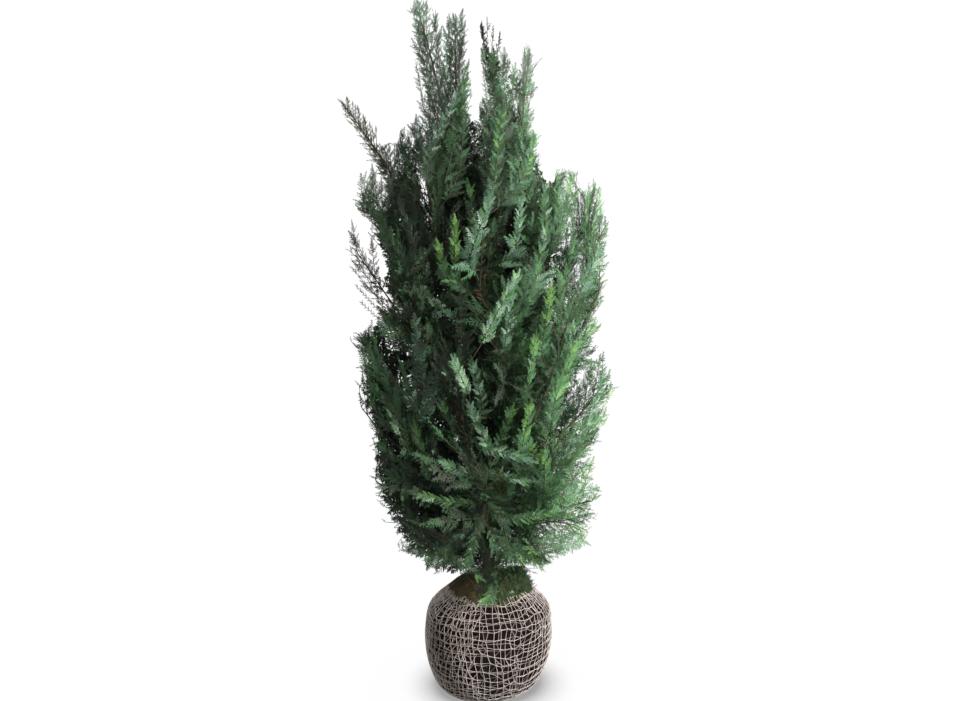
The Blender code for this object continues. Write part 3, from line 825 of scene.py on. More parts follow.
class AccentTone(Enum):
    """The tones of the plumes that stand out from the crown."""

    DEEP = Tone(0.9, fade=1.5)
    MID = Tone(1.6, 0.05, fade=2.0)
    FRESH = Tone(2.1, 0.08, fade=2.4)
    TIP = Tone(2.6, 0.08, fade=3.0)
    WAXY = Tone(1.8, 0.65, fade=1.5)
    PALE = Tone(2.2, 0.90, fade=2.0)
    GREY = Tone(1.0, 0.0, (Tint.GREY, Tint.GREY, Tint.DEEP, Tint.BLUE))
    OLIVE = Tone(2.0, 0.0, (Tint.OLIVE, Tint.OLIVE, Tint.TIP))
    BARE = Tone(0.5, 0.0, (Tint.SHADE, Tint.DEEP, Tint.SHADE, Tint.RUST))
    # A plume in the darkest greens alone: painted shade on a frond in front of the crown's middle.
    PAINTED_SHADE = Tone(0.0, 0.0, (Tint.SHADE, Tint.SHADE, Tint.DEEP))
    BRIGHT = Tone(2.6, 0.0, (Tint.LIGHT, Tint.BLUE, Tint.PALE, Tint.FRESH))
    RUST = Tone(1.0, 0.0, (Tint.RUST, Tint.OLIVE, Tint.DEEP, Tint.SHADE))


@dataclass(frozen=True)
class Dress:
    """How a branch's plumes depart from the crown's rule.

    The shift makes them darker or lighter, the breadth longer or shorter, the gap sets them
    further apart, and the slimness makes their sprays shorter. The point is how sharply the branch
    runs out to its tip, and the tip how broad the plume at its end is, by a usual one. A narrow
    one follows the branch's own bend, with small sprays. What is beyond may stand in the gap at
    the crown's left, where the rest is kept out.
    """

    shift: float = 0.0
    breadth: float = 1.0
    gap: float = 1.0
    own: tuple[Tint, ...] = ()
    slim: float = 1.0
    point: float = 0.40
    tip: float = 1.0
    beyond: bool = False


PLAIN_DRESS = Dress()
DRESSES = {
    "left_crest": Dress(0.0, 1.0, 0.9, (Tint.GREY, Tint.GREY, Tint.MID, Tint.BLUE), 0.75),
    "left_crest_inner": Dress(0.0, 1.0, 0.9, (Tint.GREY, Tint.DEEP, Tint.MID, Tint.BLUE), 0.75),
    "right_crest": Dress(-0.3, 1.0, 0.85, (Tint.SHADE, Tint.DEEP, Tint.GREY, Tint.MID), 0.85),
    "right_crest_outer": Dress(-0.3, 1.0, 0.85, (Tint.SHADE, Tint.DEEP, Tint.GREY, Tint.MID), 0.85),
    "left_arch": Dress(0.0, 1.05, 0.33, (Tint.OLIVE, Tint.SHADE, Tint.SHADE, Tint.DEEP), 1.10, 0.75, 0.32),
    "left_tuft": Dress(-1.2, 0.85, 0.9, (), 0.8),
    "upper_left": Dress(-0.7, 1.0, 0.60),
    "left_feather": Dress(0.0, 1.05, 2.2, (Tint.SHADE, Tint.DEEP, Tint.RUST), 0.40, beyond=True),
    "mid_left": Dress(0.0, 1.0, 0.75),
    "left_side": Dress(0.2, 1.0, 0.75),
    "lower_left": Dress(0.0, 1.0, 0.75),
    "low_left": Dress(-0.1, 1.0, 0.85),
    "lower_right": Dress(0.6, 1.0, 1.3),
    "right_side": Dress(0.6, 1.0, 1.3),
    "mid_right": Dress(0.4, 1.0, 1.2),
    "upper_right_low": Dress(0.4, 1.0, 1.1),
    "low_right": Dress(0.4, 1.0, 1.1),
    "upper_right": Dress(-1.0),
    "right_outer": Dress(-1.0),
    "right_tuft": Dress(-0.5),
    "front_high": Dress(-0.3),
    "front_left_high": Dress(-0.3),
    "front_left_fan": Dress(0.3),
    "front_left_low": Dress(0.3),
    "front_right_mid": Dress(0.35),
    "front_right_fan": Dress(0.5),
    "front_right_low": Dress(0.6),
    "skirt_right": Dress(0.6),
    "front_mid": Dress(-0.2),
}


@dataclass(frozen=True)
class BarkFinish(Finish):
    """Thin fibrous bark: red-brown strips with darker furrows along the limb, weathered grey in patches.

    The strips and fibres are counted to the metre on each axis.
    """

    dark: Colour
    light: Colour
    grey: tuple = ((0.30, (0.045, 0.036, 0.030)), (0.70, (0.170, 0.140, 0.115)))
    strips: tuple = (210.0, 210.0, 22.0)
    fibres: tuple = (900.0, 900.0, 60.0)
    patches: float = 16.0
    roughness: ClassVar[float] = 0.88

    def paint(self, sheet: NodeSheet) -> None:
        """Paints the strips, the fibres and the grey patches.

        Args:
            sheet: The material's nodes.
        """
        strips = sheet.noise(1.0, 6.0, sheet.stretched(self.strips))
        fibres = sheet.noise(1.0, 4.0, sheet.stretched(self.fibres))
        middle = tuple((a + b) / 2 for a, b in zip(self.dark, self.light))
        wood = sheet.ramp(strips, ((0.36, self.dark), (0.50, middle), (0.68, self.light)))
        weathered = sheet.share(sheet.noise(self.patches, 3.0), 0.45, 0.75, 0.6)
        sheet.shade(Base_Color=sheet.mixed(weathered, wood, sheet.ramp(fibres, self.grey)))
        sheet.bump(strips, 0.7, 0.002)


@dataclass(frozen=True)
class SoilFinish(Finish):
    """Dark clay soil with paler crumbs, as it shows through the netting, kept near black: partly the soil's
    own dark and partly painted shade in the netting's holes.
    """

    name: str = "ball_soil"
    # The clods and crumbs are near black: partly the soil's own colour, partly painted shade in the netting's
    # holes.
    clods: tuple = (
        (0.36, (0.003, 0.002, 0.002)),
        (0.58, (0.008, 0.005, 0.004)),
        (0.76, (0.022, 0.015, 0.012)),
    )
    crumbs: tuple = ((0.44, (0.004, 0.003, 0.002)), (0.74, (0.036, 0.026, 0.021)))
    clod_scale: float = 34.0
    crumb_scale: float = 310.0
    roughness: ClassVar[float] = 0.95
    specular: ClassVar[float] = 0.08

    def paint(self, sheet: NodeSheet) -> None:
        """Paints the clods and the crumbs.

        Args:
            sheet: The material's nodes.
        """
        clods = sheet.noise(self.clod_scale, 8.0)
        crumbs = sheet.noise(self.crumb_scale, 3.0)
        pale = sheet.share(crumbs, 0.52, 0.70, 0.55)
        colour = sheet.mixed(pale, sheet.ramp(clods, self.clods), sheet.ramp(crumbs, self.crumbs))
        sheet.shade(Base_Color=colour)
        sheet.bump(crumbs, 0.9, 0.003)


@dataclass(frozen=True)
class MossFinish(Finish):
    """Moss and leaf litter on the mound: olive, brown and deep green in patches, with litter at the left."""

    name: str = "mound_moss"
    moss: tuple = (
        (0.32, (0.012, 0.019, 0.010)),
        (0.58, (0.038, 0.054, 0.020)),
        (0.78, (0.090, 0.108, 0.036)),
    )
    litter: tuple = ((0.34, (0.024, 0.019, 0.011)), (0.66, (0.135, 0.110, 0.052)))
    patch_scale: float = 22.0
    tuft_scale: float = 420.0
    litter_slope: float = -3.0
    roughness: ClassVar[float] = 0.96
    specular: ClassVar[float] = 0.12

    def paint(self, sheet: NodeSheet) -> None:
        """Paints the moss and the litter.

        Args:
            sheet: The material's nodes.
        """
        tufts = sheet.noise(self.tuft_scale, 3.0)
        leaning = sheet.leaning(sheet.noise(self.patch_scale, 5.0), self.litter_slope)
        littered = sheet.share(leaning, 0.42, 0.62)
        colour = sheet.mixed(littered, sheet.ramp(tufts, self.moss), sheet.ramp(tufts, self.litter))
        sheet.shade(Base_Color=colour)
        sheet.bump(tufts, 1.0, 0.004)


@dataclass(frozen=True)
class YarnFinish(Finish):
    """The netting's yarn: undyed and a little soiled, with its fibres showing."""

    clean: Colour
    soiled: Colour
    stain_scale: float = 26.0
    fibre_scale: float = 1900.0
    fibre_share: float = 0.35
    sheen: float = 0.2
    roughness: ClassVar[float] = 0.82

    def paint(self, sheet: NodeSheet) -> None:
        """Paints the stains and the fibres.

        Args:
            sheet: The material's nodes.
        """
        fibres = sheet.noise(self.fibre_scale, 2.0)
        stained = sheet.ramp(sheet.noise(self.stain_scale, 5.0), ((0.36, self.soiled), (0.58, self.clean)))
        worn = sheet.ramp(fibres, ((0.30, self.soiled), (0.62, self.clean)))
        sheet.shade(Base_Color=sheet.mixed(self.fibre_share, stained, worn), Sheen_Weight=self.sheen)
        sheet.bump(fibres, 0.6, 0.0006)


@dataclass(frozen=True)
class FloorFinish(Finish):
    """A plain pale studio floor that glows a little."""

    name: str = "studio_floor"
    tone: float = 0.30
    glow: float = 0.30
    roughness: ClassVar[float] = 1.0
    specular: ClassVar[float] = 0.0

    def paint(self, sheet: NodeSheet) -> None:
        """Gives the shader its tone and its glow."""
        white = (1.0, 1.0, 1.0, 1.0)
        sheet.shade(Base_Color=(self.tone,) * 3 + (1.0,), Emission_Color=white, Emission_Strength=self.glow)


@dataclass(frozen=True)
class Taper:
    """How the shoots of a row shorten to its tip: they start at a share of the longest and grow by a slope.

    Towards the tip they run out by a power, sharply where that is small, and the rest is what is left.
    """

    start: float
    slope: float
    power: float
    scale: float = 1.0
    rest: float = 0.0

    def at(self, share: float) -> float:
        """The length at a share of the row."""
        rise = min(1.0, self.start + self.slope * share)
        return rise * (1.0 - share) ** self.power * self.scale + self.rest


@dataclass
class Facets:
    """Points and triangles, which grow as shapes are laid."""

    points: list[tuple] = field(default_factory=list)
    faces: list[tuple] = field(default_factory=list)
    narrowing: ClassVar[float] = 0.72

    def strip(
        self, start: Vector, way: Vector, across: Vector, length: float, half: float, steps: int
    ) -> None:
        """Lays a strip that narrows to a point.

        Args:
            start: Where it starts.
            way: Its direction.
            across: The direction of its width.
            length: Its length.
            half: Its half width at its start.
            steps: How many stretches it has.
        """
        base = len(self.points)
        for step in range(steps):
            share = step / steps
            centre = start + way * (length * share)
            wide = half * (1 - self.narrowing * share)
            self.points += [tuple(centre - across * wide), tuple(centre + across * wide)]
        self.points.append(tuple(start + way * length))
        for i in range(base, base + 2 * (steps - 1), 2):
            self.faces += [(i, i + 2, i + 3), (i, i + 3, i + 1)]
        i = base + 2 * (steps - 1)
        self.faces.append((i, i + 2, i + 1))


@dataclass(frozen=True)
class SprayForm:
    """A flat spray in units of its length: it lies along +X, faces +Z and droops at its tip.

    Side shoots leave its rachis by turns. Each is a tapering strip with teeth on both sides, which
    are the tips of still finer shoots of scale leaves.
    """

    pairs: int
    tooth_pitch: float
    half_width: float
    droop: float
    seed: int
    rachis_half: float = 0.016
    shoot_half: float = 0.014
    tooth_length: float = 0.125
    tooth_half: float = 0.021
    shoot_angles: ClassVar[tuple] = (52.0, 30.0)
    shoot_span: ClassVar[tuple] = (0.04, 0.90)
    shoot_taper: ClassVar[Taper] = Taper(0.50, 2.4, 0.70, 1.12)
    tip_shoot: ClassVar[tuple] = (0.90, 0.10)
    edge_droop: ClassVar[float] = 0.35
    tooth_span: ClassVar[tuple] = (0.20, 0.74)
    tooth_angles: ClassVar[tuple] = (40, 12)
    tooth_sizes: ClassVar[tuple] = (1.05, 0.45)

    def build(self) -> tuple[np.ndarray, np.ndarray]:
        """The spray's shape.

        Returns:
            Its points and its triangles.
        """
        dice = random.Random(self.seed)
        shape = Facets()
        shape.strip(Vector((0.0, 0.0, 0.0)), outward(0.0), sideways(0.0), 1.0, self.rachis_half, 3)
        first, last = self.shoot_span
        for index in range(self.pairs * 2):
            hand = 1 if index % 2 else -1
            share = first + last * (index + dice.uniform(-0.2, 0.2)) / (self.pairs * 2)
            length = self.half_width * self.shoot_taper.at(share) * dice.uniform(0.86, 1.12)
            angle = self.shoot_angles[0] + (self.shoot_angles[1] - self.shoot_angles[0]) * share
            turn = math.radians(angle + dice.uniform(-5, 5)) * hand
            rise = dice.uniform(-0.22, 0.30)
            self._shoot(shape, share, turn, length, rise, dice)
        self._shoot(shape, self.tip_shoot[0], 0.0, self.tip_shoot[1], 0.0, dice)
        places = np.array(shape.points)
        places[:, 2] -= self.droop * places[:, 0] ** 2 + self.edge_droop * self.droop * np.abs(places[:, 1])
        return places, np.array(shape.faces, np.int32)

    def _shoot(
        self, shape: Facets, foot: float, turn: float, length: float, rise: float, dice: random.Random
    ) -> None:
        """Lays one side shoot: a strip with its teeth.

        Args:
            shape: The spray's shape, which grows.
            foot: Where it leaves the rachis.
            turn: Its turn from +X, in radians.
            length: Its length.
            rise: How far it leaves the flat, by its length.
            dice: The seeded draws.
        """
        start, way = Vector((foot, 0.0, 0.0)), outward(turn, rise)
        shape.strip(start, way, sideways(turn), length, self.shoot_half, 1)
        count = round(length / self.tooth_pitch)
        for index in range(count * 2):
            hand = 1 if index % 2 else -1
            share = self.tooth_span[0] + self.tooth_span[1] * index / (count * 2)
            lean = turn + hand * math.radians(self.tooth_angles[0] - self.tooth_angles[1] * share)
            out = outward(lean, rise + dice.uniform(-0.25, 0.25))
            root = start + way * (length * share)
            size = self.tooth_sizes[0] - self.tooth_sizes[1] * share
            tooth = self.tooth_length * size * dice.uniform(0.8, 1.2)
            side = sideways(lean) * self.tooth_half
            i = len(shape.points)
            shape.points += [tuple(root - side), tuple(root + out * tooth), tuple(root + side)]
            shape.faces.append((i, i + 1, i + 2))


class Detail(Enum):
    """The forms that a spray takes, by its size and by how much of it shows."""

    BROAD = "broad"
    SMALL = "small"
    INNER = "inner"


BROAD_SIZES = (
    (0.125, 0.28, 0.10, 11),
    (0.135, 0.31, 0.18, 12),
    (0.120, 0.26, -0.06, 13),
    (0.130, 0.29, 0.05, 14),
)
SMALL_SIZES = ((0.140, 0.30, 0.08, 21), (0.140, 0.27, -0.04, 22))
INNER_SIZES = ((0.400, 0.42, 0.12, 31), (0.400, 0.44, 0.04, 32))
SMALL_STRIPS = {"tooth_length": 0.15, "tooth_half": 0.028, "shoot_half": 0.022, "rachis_half": 0.022}
INNER_STRIPS = {"tooth_length": 0.20, "tooth_half": 0.060, "shoot_half": 0.060}
SPRAY_FORMS = {
    Detail.BROAD: tuple(SprayForm(7, *sizes) for sizes in BROAD_SIZES),
    Detail.SMALL: tuple(SprayForm(5, *sizes, **SMALL_STRIPS) for sizes in SMALL_SIZES),
    Detail.INNER: tuple(SprayForm(4, *sizes, **INNER_STRIPS) for sizes in INNER_SIZES),
}


@dataclass
class Spray:
    """A spray in its place on the plant."""

    place: Vector
    direction: Vector
    face: Vector
    length: float
    detail: Detail
    form: int
    tint: Tint

    def matrix(self) -> np.ndarray:
        """Its place, turn and size.

        Returns:
            Three rows of four.
        """
        up = squared(self.face, self.direction)
        side = up.cross(self.direction)
        turn = np.array([tuple(self.direction), tuple(side), tuple(up)]).T * self.length
        return np.hstack([turn, np.array(tuple(self.place))[:, None]])


@dataclass
class Twig:
    """A thin side twig as a line with its radii."""

    points: list[Vector]
    radii: list[float]


@dataclass
class Foliage:
    """The plant's sprays and twigs, which grow in number as it is built."""

    sprays: list[Spray] = field(default_factory=list)
    twigs: list[Twig] = field(default_factory=list)

    def add_twig(self, points: list[Vector], radii: tuple[float, float]) -> None:
        """Adds a twig that tapers evenly along its line between two radii."""
        self.twigs.append(Twig(points, even_radii(radii, len(points))))


@dataclass(frozen=True)
class CrownForm:
    """The room that the crown takes: how far it reaches to each side at each height.

    Both are meant as they are seen from the camera's place, in the plane through the plant's middle.
    A cleft is an opening in the outline: its lower and upper end, and its half width. The gap is the
    opening at the left that only the feather crosses. The ragged sizes are how far the edges stray,
    and the rags how many lumps their noise has to the metre.
    """

    heights: tuple = (
        0.37, 0.43, 0.52, 0.60, 0.70, 0.80, 0.95, 1.07, 1.20, 1.33,
        1.50, 1.53, 1.56, 1.585, 1.62, 1.66, 1.70, 1.77, 1.80, 1.87, 1.94, 2.04,
    )
    left: tuple = (
        0.19, 0.26, 0.30, 0.345, 0.335, 0.345, 0.385, 0.395, 0.395, 0.43,
        0.385, 0.358, 0.352, 0.350, 0.352, 0.368, 0.40, 0.438, 0.228, 0.224, 0.22, 0.222,
    )
    right: tuple = (
        0.17, 0.285, 0.325, 0.325, 0.305, 0.340, 0.378, 0.315, 0.325, 0.345,
        0.335, 0.305, 0.265, 0.142, 0.138, 0.132, 0.12, 0.115, 0.12, 0.138, 0.09, -0.06,
    )
    clefts: tuple = (
        ((-0.036, 1.71), (-0.036, 2.10), 0.012),
        ((-0.170, 1.38), (-0.192, 1.535), 0.010),
        ((-0.292, 1.64), (-0.262, 1.79), 0.034),
        ((0.172, 1.535), (0.172, 1.64), 0.020),
        ((0.262, 1.515), (0.290, 1.60), 0.018),
    )
    gap_heights: tuple = (1.08, 1.132, 1.165, 1.30, 1.365, 1.425, 1.48)
    gap_reaches: tuple = (0.40, 0.350, 0.298, 0.296, 0.318, 0.352, 0.40)
    spare: float = 0.012
    low_clear: float = 0.335
    ball_clear: float = 0.21
    lowest_seen: float = 0.350
    sprig_seen: float = 0.240
    sprig_clear: float = 0.312
    sprig_front: float = -0.12
    sprig_span: tuple = (-0.005, 0.034)
    ragged: float = 0.026
    cleft_ragged: float = 0.35
    foot_ragged: float = 0.5
    rags: float = 22.0
    rags_deep: float = 4.0
    cleft_rags: tuple = (60.0, 30.0, 20.0)
    side_row: float = 5.0
    foot_row: float = 9.0
    fringe: float = 0.011
    twig_fringe: float = 1.6
    twig_steps: int = 24
    face_depth: float = -0.9
    face_middle: float = -0.02
    face_least: float = 0.35

    def seen(self, place: Vector) -> tuple[float, float]:
        """Where a place is seen from the camera, in the plane through the plant's middle.

        Args:
            place: The place.

        Returns:
            How far it is to the right, and its height.
        """
        eye_x, eye_y, eye_z = CAMERA_PLACE
        scale = eye_y / (eye_y - place.y)
        return eye_x + (place.x - eye_x) * scale, eye_z + (place.z - eye_z) * scale

    def rag(self, share: float, *place: float) -> float:
        """How far an edge strays at a place in its noise, by a share of the outline's own raggedness."""
        return share * self.ragged * noise.noise(Vector(place))

    def reaches(self, place: Vector, beyond: bool = False, fray: float = 0.0) -> bool:
        """Whether the crown reaches as far to the side as a place, at the height where that is seen.

        Args:
            place: The place.
            beyond: Whether the gap at the left counts as room.
            fray: How much further than usual the room reaches.

        Returns:
            True if it does.
        """
        x, z = self.seen(place)
        reach = fray + np.interp(z, self.heights, self.left if x < 0 else self.right)
        reach += self.rag(1.0, z * self.rags, math.copysign(self.side_row, x), place.y * self.rags_deep)
        if x < 0 and self.gap_heights[0] < z < self.gap_heights[-1] and not beyond:
            gap = np.interp(z, self.gap_heights, self.gap_reaches)
            reach += min(0.0, gap - np.interp(z, self.heights, self.left))
        return abs(x) <= reach

    def in_cleft(self, x: float, z: float) -> bool:
        """Whether a place lies in one of the clefts.

        Args:
            x: How far to the right it is seen.
            z: The height where it is seen.

        Returns:
            True if it does.
        """
        rags_up, rags_between, rags_across = self.cleft_rags
        for (low_x, low_z), (high_x, high_z), half in self.clefts:
            middle = np.interp(z, (low_z, high_z), (low_x, high_x))
            rag = self.rag(self.cleft_ragged, z * rags_up, low_x * rags_between, x * rags_across)
            if low_z < z < high_z and abs(x - middle) < half + rag:
                return True
        return False

    def holds(self, place: Vector, beyond: bool = False, fray: float = 0.0) -> bool:
        """Whether a place lies in the crown's room: within its outline and in none of its clefts.

        A few sprigs may hang over the ball's rim, in front of the stem.

        Args:
            place: The place.
            beyond: Whether the gap at the left counts as room.
            fray: How much further than usual the room reaches sideways.

        Returns:
            True if it does.
        """
        x, z = self.seen(place)
        if not self.reaches(place, beyond, fray) or self.in_cleft(x, z):
            return False
        over_rim = abs(x - self.sprig_span[0]) < self.sprig_span[1]
        foot_rag = self.rag(self.foot_ragged, x * self.rags, self.foot_row, place.y * self.rags_deep)
        if z < (self.sprig_seen if over_rim else self.lowest_seen + foot_rag):
            return False
        low, high = CAD_BOUNDS
        if not low.y - self.spare < place.y < high.y + self.spare or place.z > high.z + self.spare:
            return False
        clear = self.sprig_clear if over_rim and place.y < self.sprig_front else self.low_clear
        return place.z > clear or math.hypot(place.x, place.y) > self.ball_clear

    def kept_share(self, points: list[Vector], beyond: bool) -> float:
        """How much of a twig the crown's reach takes in, as a share of its steps from its start.

        Args:
            points: The twig's line.
            beyond: Whether the gap at the left counts as room.

        Returns:
            The share, below 0 where it starts outside.
        """
        for step in range(self.twig_steps + 1):
            place, _ = along(points, step / self.twig_steps)
            if not self.reaches(place, beyond, self.twig_fringe * self.fringe):
                return (step - 1) / self.twig_steps
        return 1.0

    def front(self, x: float, z: float) -> float:
        """How far the crown's face stands in front of the middle, at a place seen from the front.

        Args:
            x: How far it is to the right.
            z: Its height.

        Returns:
            The Y of the face, below 0.
        """
        reach = crown_reach(z)
        least = (self.face_least * reach) ** 2
        return self.face_depth * math.sqrt(max(reach**2 - (x - self.face_middle) ** 2, least))


CROWN_FORM = CrownForm()


@dataclass
class Plume:
    """A flat frond of sprays on a bowed twig: sprays leave it by turns, all nearly in one plane."""

    points: list[Vector]
    face: Vector
    tone: Tone
    dice: random.Random
    spray_pitch: float = 0.0115
    spray_length: float = 0.060
    foot_share: float = 0.05
    least: float = 0.026
    beyond: bool = False
    most: ClassVar[float] = 0.085
    fewest: ClassVar[int] = 6
    last_share: ClassVar[float] = 0.96
    tip_shares: ClassVar[tuple] = (0.84, 0.93)
    taper: ClassVar[Taper] = Taper(0.50, 1.9, 0.62, 1.10, 0.05)
    angles: ClassVar[tuple] = (44, 14)
    lean: ClassVar[float] = 0.28
    roll: ClassVar[float] = 32
    shorter: ClassVar[tuple] = (1.0, 0.7, 0.5)
    inner_shares: ClassVar[tuple] = (0.50, 0.62, 0.95)
    open_side: ClassVar[tuple] = (-0.12, 1.52)
    broad_length: ClassVar[float] = 0.042

    def grow(self, foliage: Foliage) -> bool:
        """Sets the plume's sprays, and its twig as far as the last of them.

        Args:
            foliage: The plant's sprays and twigs, which grow.

        Returns:
            True if the crown had room for any.
        """
        reached = -1.0
        clear = CROWN_FORM.kept_share(self.points, self.beyond)
        count = max(self.fewest, round(float(marks(self.points)[-1]) / self.spray_pitch))
        for index in range(count):
            span = self.last_share - self.foot_share
            share = max(0.0, self.foot_share + span * (index + self.dice.uniform(-0.3, 0.3)) / count)
            place, axis = along(self.points, share)
            hand = 1 if index % 2 else -1
            angle = self.angles[0] - self.angles[1] * share + self.dice.uniform(-9, 9)
            out = leaving(axis, self.face, hand, angle, self.dice.uniform(-self.lean, self.lean))
            size = self.spray_length * self.taper.at(share) * self.dice.uniform(0.62, 1.25)
            size = max(self.least, min(self.most, size))
            if self._spray(foliage, place, out, size, share, share <= clear):
                reached = share
        for share in self.tip_shares:
            place, axis = along(self.points, share)
            size = max(1.3 * self.least, self.spray_length * 0.65)
            if self._spray(foliage, place, axis, size, 1.0, share <= clear):
                reached = max(reached, share)
        if reached > 0.02:
            foliage.add_twig(split_way(self.points, reached)[0], TWIG_RADII)
        return reached >= 0.0

    def _spray(
        self, foliage: Foliage, place: Vector, direction: Vector, length: float, share: float, wanted: bool
    ) -> bool:
        """Sets one spray if the crown has room for it, shorter where there is less.

        Args:
            foliage: The plant's sprays and twigs, which grow.
            place: Where its rachis starts.
            direction: Where it points.
            length: Its length at its full size.
            share: How far up the plume it stands, from 0 to 1.
            wanted: Whether its twig comes as far as this.

        Returns:
            True if it is set.
        """
        face = rolled(self.face, direction, self.dice.uniform(-self.roll, self.roll))
        tint, form_draw = self.tone.tint(share, self.dice), self.dice.random()
        fray = CROWN_FORM.fringe * (2.6 * form_draw**2 - 1.0)
        sizes = [length * shorter for shorter in self.shorter] if wanted else []
        fitting = (s for s in sizes if CROWN_FORM.holds(place + direction * s, self.beyond, fray))
        size = next(fitting, 0.0)
        if not size or not CROWN_FORM.holds(place + direction * (size * 0.3), self.beyond, fray):
            return False
        detail = self._detail(place + direction * (size * 0.5), size, tint)
        form = int(form_draw * len(SPRAY_FORMS[detail]))
        foliage.sprays.append(Spray(place, direction, face, size, detail, form, tint))
        return True

    def _detail(self, middle: Vector, size: float, tint: Tint) -> Detail:
        """Picks a spray's form: a plain one inside the crown, deeper in where the outside is dark.

        Args:
            middle: The spray's middle.
            size: Its length.
            tint: Its tint.

        Returns:
            The form.
        """
        outer = math.hypot(middle.x, middle.y) / crown_reach(middle.z)
        light, dark, shaded = self.inner_shares
        lit = middle.x > self.open_side[0] or middle.z > self.open_side[1]
        hidden = light if tint in GREENS[2:] else dark if lit else shaded
        if outer < hidden:
            return Detail.INNER
        return Detail.BROAD if size > self.broad_length else Detail.SMALL


@dataclass
class Mass:
    """One mass of foliage: it grows on from the source's own stem line, plane and seed."""

    row: Branch
    bare: list[Vector]
    stem: list[Vector]
    seed: int
    foliage: Foliage
    reached: float = 0.62
    plume_pitch: ClassVar[float] = 0.021
    plume_length: ClassVar[float] = 2.15
    fewest: ClassVar[int] = 7
    plume_span: ClassVar[tuple] = (0.01, 0.90)
    bare_shares: ClassVar[tuple] = (0.35, 0.55, 0.75, 0.92)
    end_share: ClassVar[float] = 0.62
    fine_least: ClassVar[float] = 0.012
    size_share: ClassVar[float] = 0.40
    spreads: ClassVar[tuple] = (48, 16, 16)
    tilt: ClassVar[float] = 0.62
    bare_aside: ClassVar[tuple] = (50, 0.8)
    strays: ClassVar[tuple] = (0.82, 1.16)
    # How the greens grow out from the middle (partly painted shade inside), up the stem, and to the right
    # (painted light from the key lamp's side).
    greens_by: ClassVar[tuple] = (2.6, 0.3, 1.8)
    darkest: ClassVar[float] = 1.7
    tone_spread: ClassVar[float] = 0.55

    def __post_init__(self) -> None:
        """Works out the mass's plane as the source does, from its first draw."""
        self.dice = random.Random(self.seed)
        self.dress = DRESSES.get(self.row.name, PLAIN_DRESS)
        bearing = math.radians(self.row.bearing)
        facing = abs(math.sin(bearing))
        roll = 64 * facing + (40 - 20 * facing) * self.dice.uniform(-1, 1)
        axis = (self.stem[-1] - self.stem[0]).normalized()
        self.normal = rolled(squared(sideways(bearing), axis), axis, roll)
        self.length = float(marks(self.stem)[-1])

    def aside(self, axis: Vector, hand: int, spread: float, tilt: float) -> Vector:
        """A direction that leaves an axis to one side of the fan and turns up a little.

        Args:
            axis: The line's direction.
            hand: 1 or -1.
            spread: The angle from the axis, in degrees.
            tilt: How far it may leave the fan's plane.

        Returns:
            The direction.
        """
        rise = DROOP if self.row.bow is Bow.DROOPING else UPTURN
        angle = spread + self.dice.uniform(-7, 7)
        return leaving(axis, self.normal, hand, angle, self.dice.uniform(-tilt, tilt), rise)

    def grow(self) -> None:
        """Grows plumes by turns up the stem, a few on its bare foot, and one that carries its tip on."""
        count = max(self.fewest, round(self.length / (self.plume_pitch * self.dress.gap)))
        broad = self.row.half_width * self.plume_length * self.dress.breadth
        taper = Taper(0.80, 0.9, self.dress.point, rest=0.10)
        widest, narrowing, upright = self.spreads
        for index in range(count):
            share = self.plume_span[0] + self.plume_span[1] * index / (count - 1)
            hand = 1 if index % 2 else -1
            start, axis = along(self.stem, share)
            spread = widest - narrowing * share - upright * max(0.0, axis.z) ** 3
            direction = self.aside(axis, hand, spread, self.tilt)
            length = broad * taper.at(share) * self.dice.uniform(*self.strays)
            if self._plume(start, direction, length, share):
                self.reached = max(self.reached, share)
        for share in self.bare_shares if self.bare else ():
            start, axis = along(self.bare, share)
            direction = self.aside(axis, self.dice.choice((1, -1)), *self.bare_aside)
            self._plume(start, direction, broad * 0.9 * self.dice.uniform(0.8, 1.1), 0.0)
        _, way = split_way(self.stem, self.end_share)
        chord = self.stem[-1] - way[0]
        breadth = self.dress.breadth * self.dress.tip
        own_way = way if self.dress.tip < 1.0 else None
        self._plume(way[0], chord.normalized(), chord.length * 1.02, 1.0, 8.0, breadth, own_way)

    def _plume(
        self,
        start: Vector,
        direction: Vector,
        length: float,
        share: float,
        turn: float = 38.0,
        breadth: float = 1.0,
        way: list[Vector] | None = None,
    ) -> bool:
        """Grows one plume.

        Args:
            start: Where it leaves the stem.
            direction: Where it points at first.
            length: Its length.
            share: How far up the stem it stands, from 0 to 1.
            turn: How far its face may turn from the mass's own, in degrees.
            breadth: How broad it is, by a usual one.
            way: Its line, or none for one that bows from its start.

        Returns:
            True if the crown had room for it.
        """
        face = squared(rolled(self.normal, direction, self.dice.uniform(-turn, turn)), direction)
        tone, lift = self._tone(start + direction * (length * 0.6), share)
        points = way or bowed(start, direction, length, lift)
        size = self.size_share * length * breadth * self.dress.slim
        least = self.fine_least if self.dress.tip < 1.0 else Plume.least
        plume = Plume(points, face, tone, self.dice, spray_length=size, least=least, beyond=self.dress.beyond)
        return plume.grow(self.foliage)

    def _tone(self, middle: Vector, share: float) -> tuple[Tone, float]:
        """Draws a plume's tone, and how far its twig bows: darker inside the crown, partly painted shade, and
        lighter and paler to the right, painted light from the key lamp's side.

        Args:
            middle: The plume's middle.
            share: How far up the stem it stands.

        Returns:
            The tone, and how far the twig bows up.
        """
        outer = math.hypot(middle.x, middle.y) / crown_reach(middle.z)
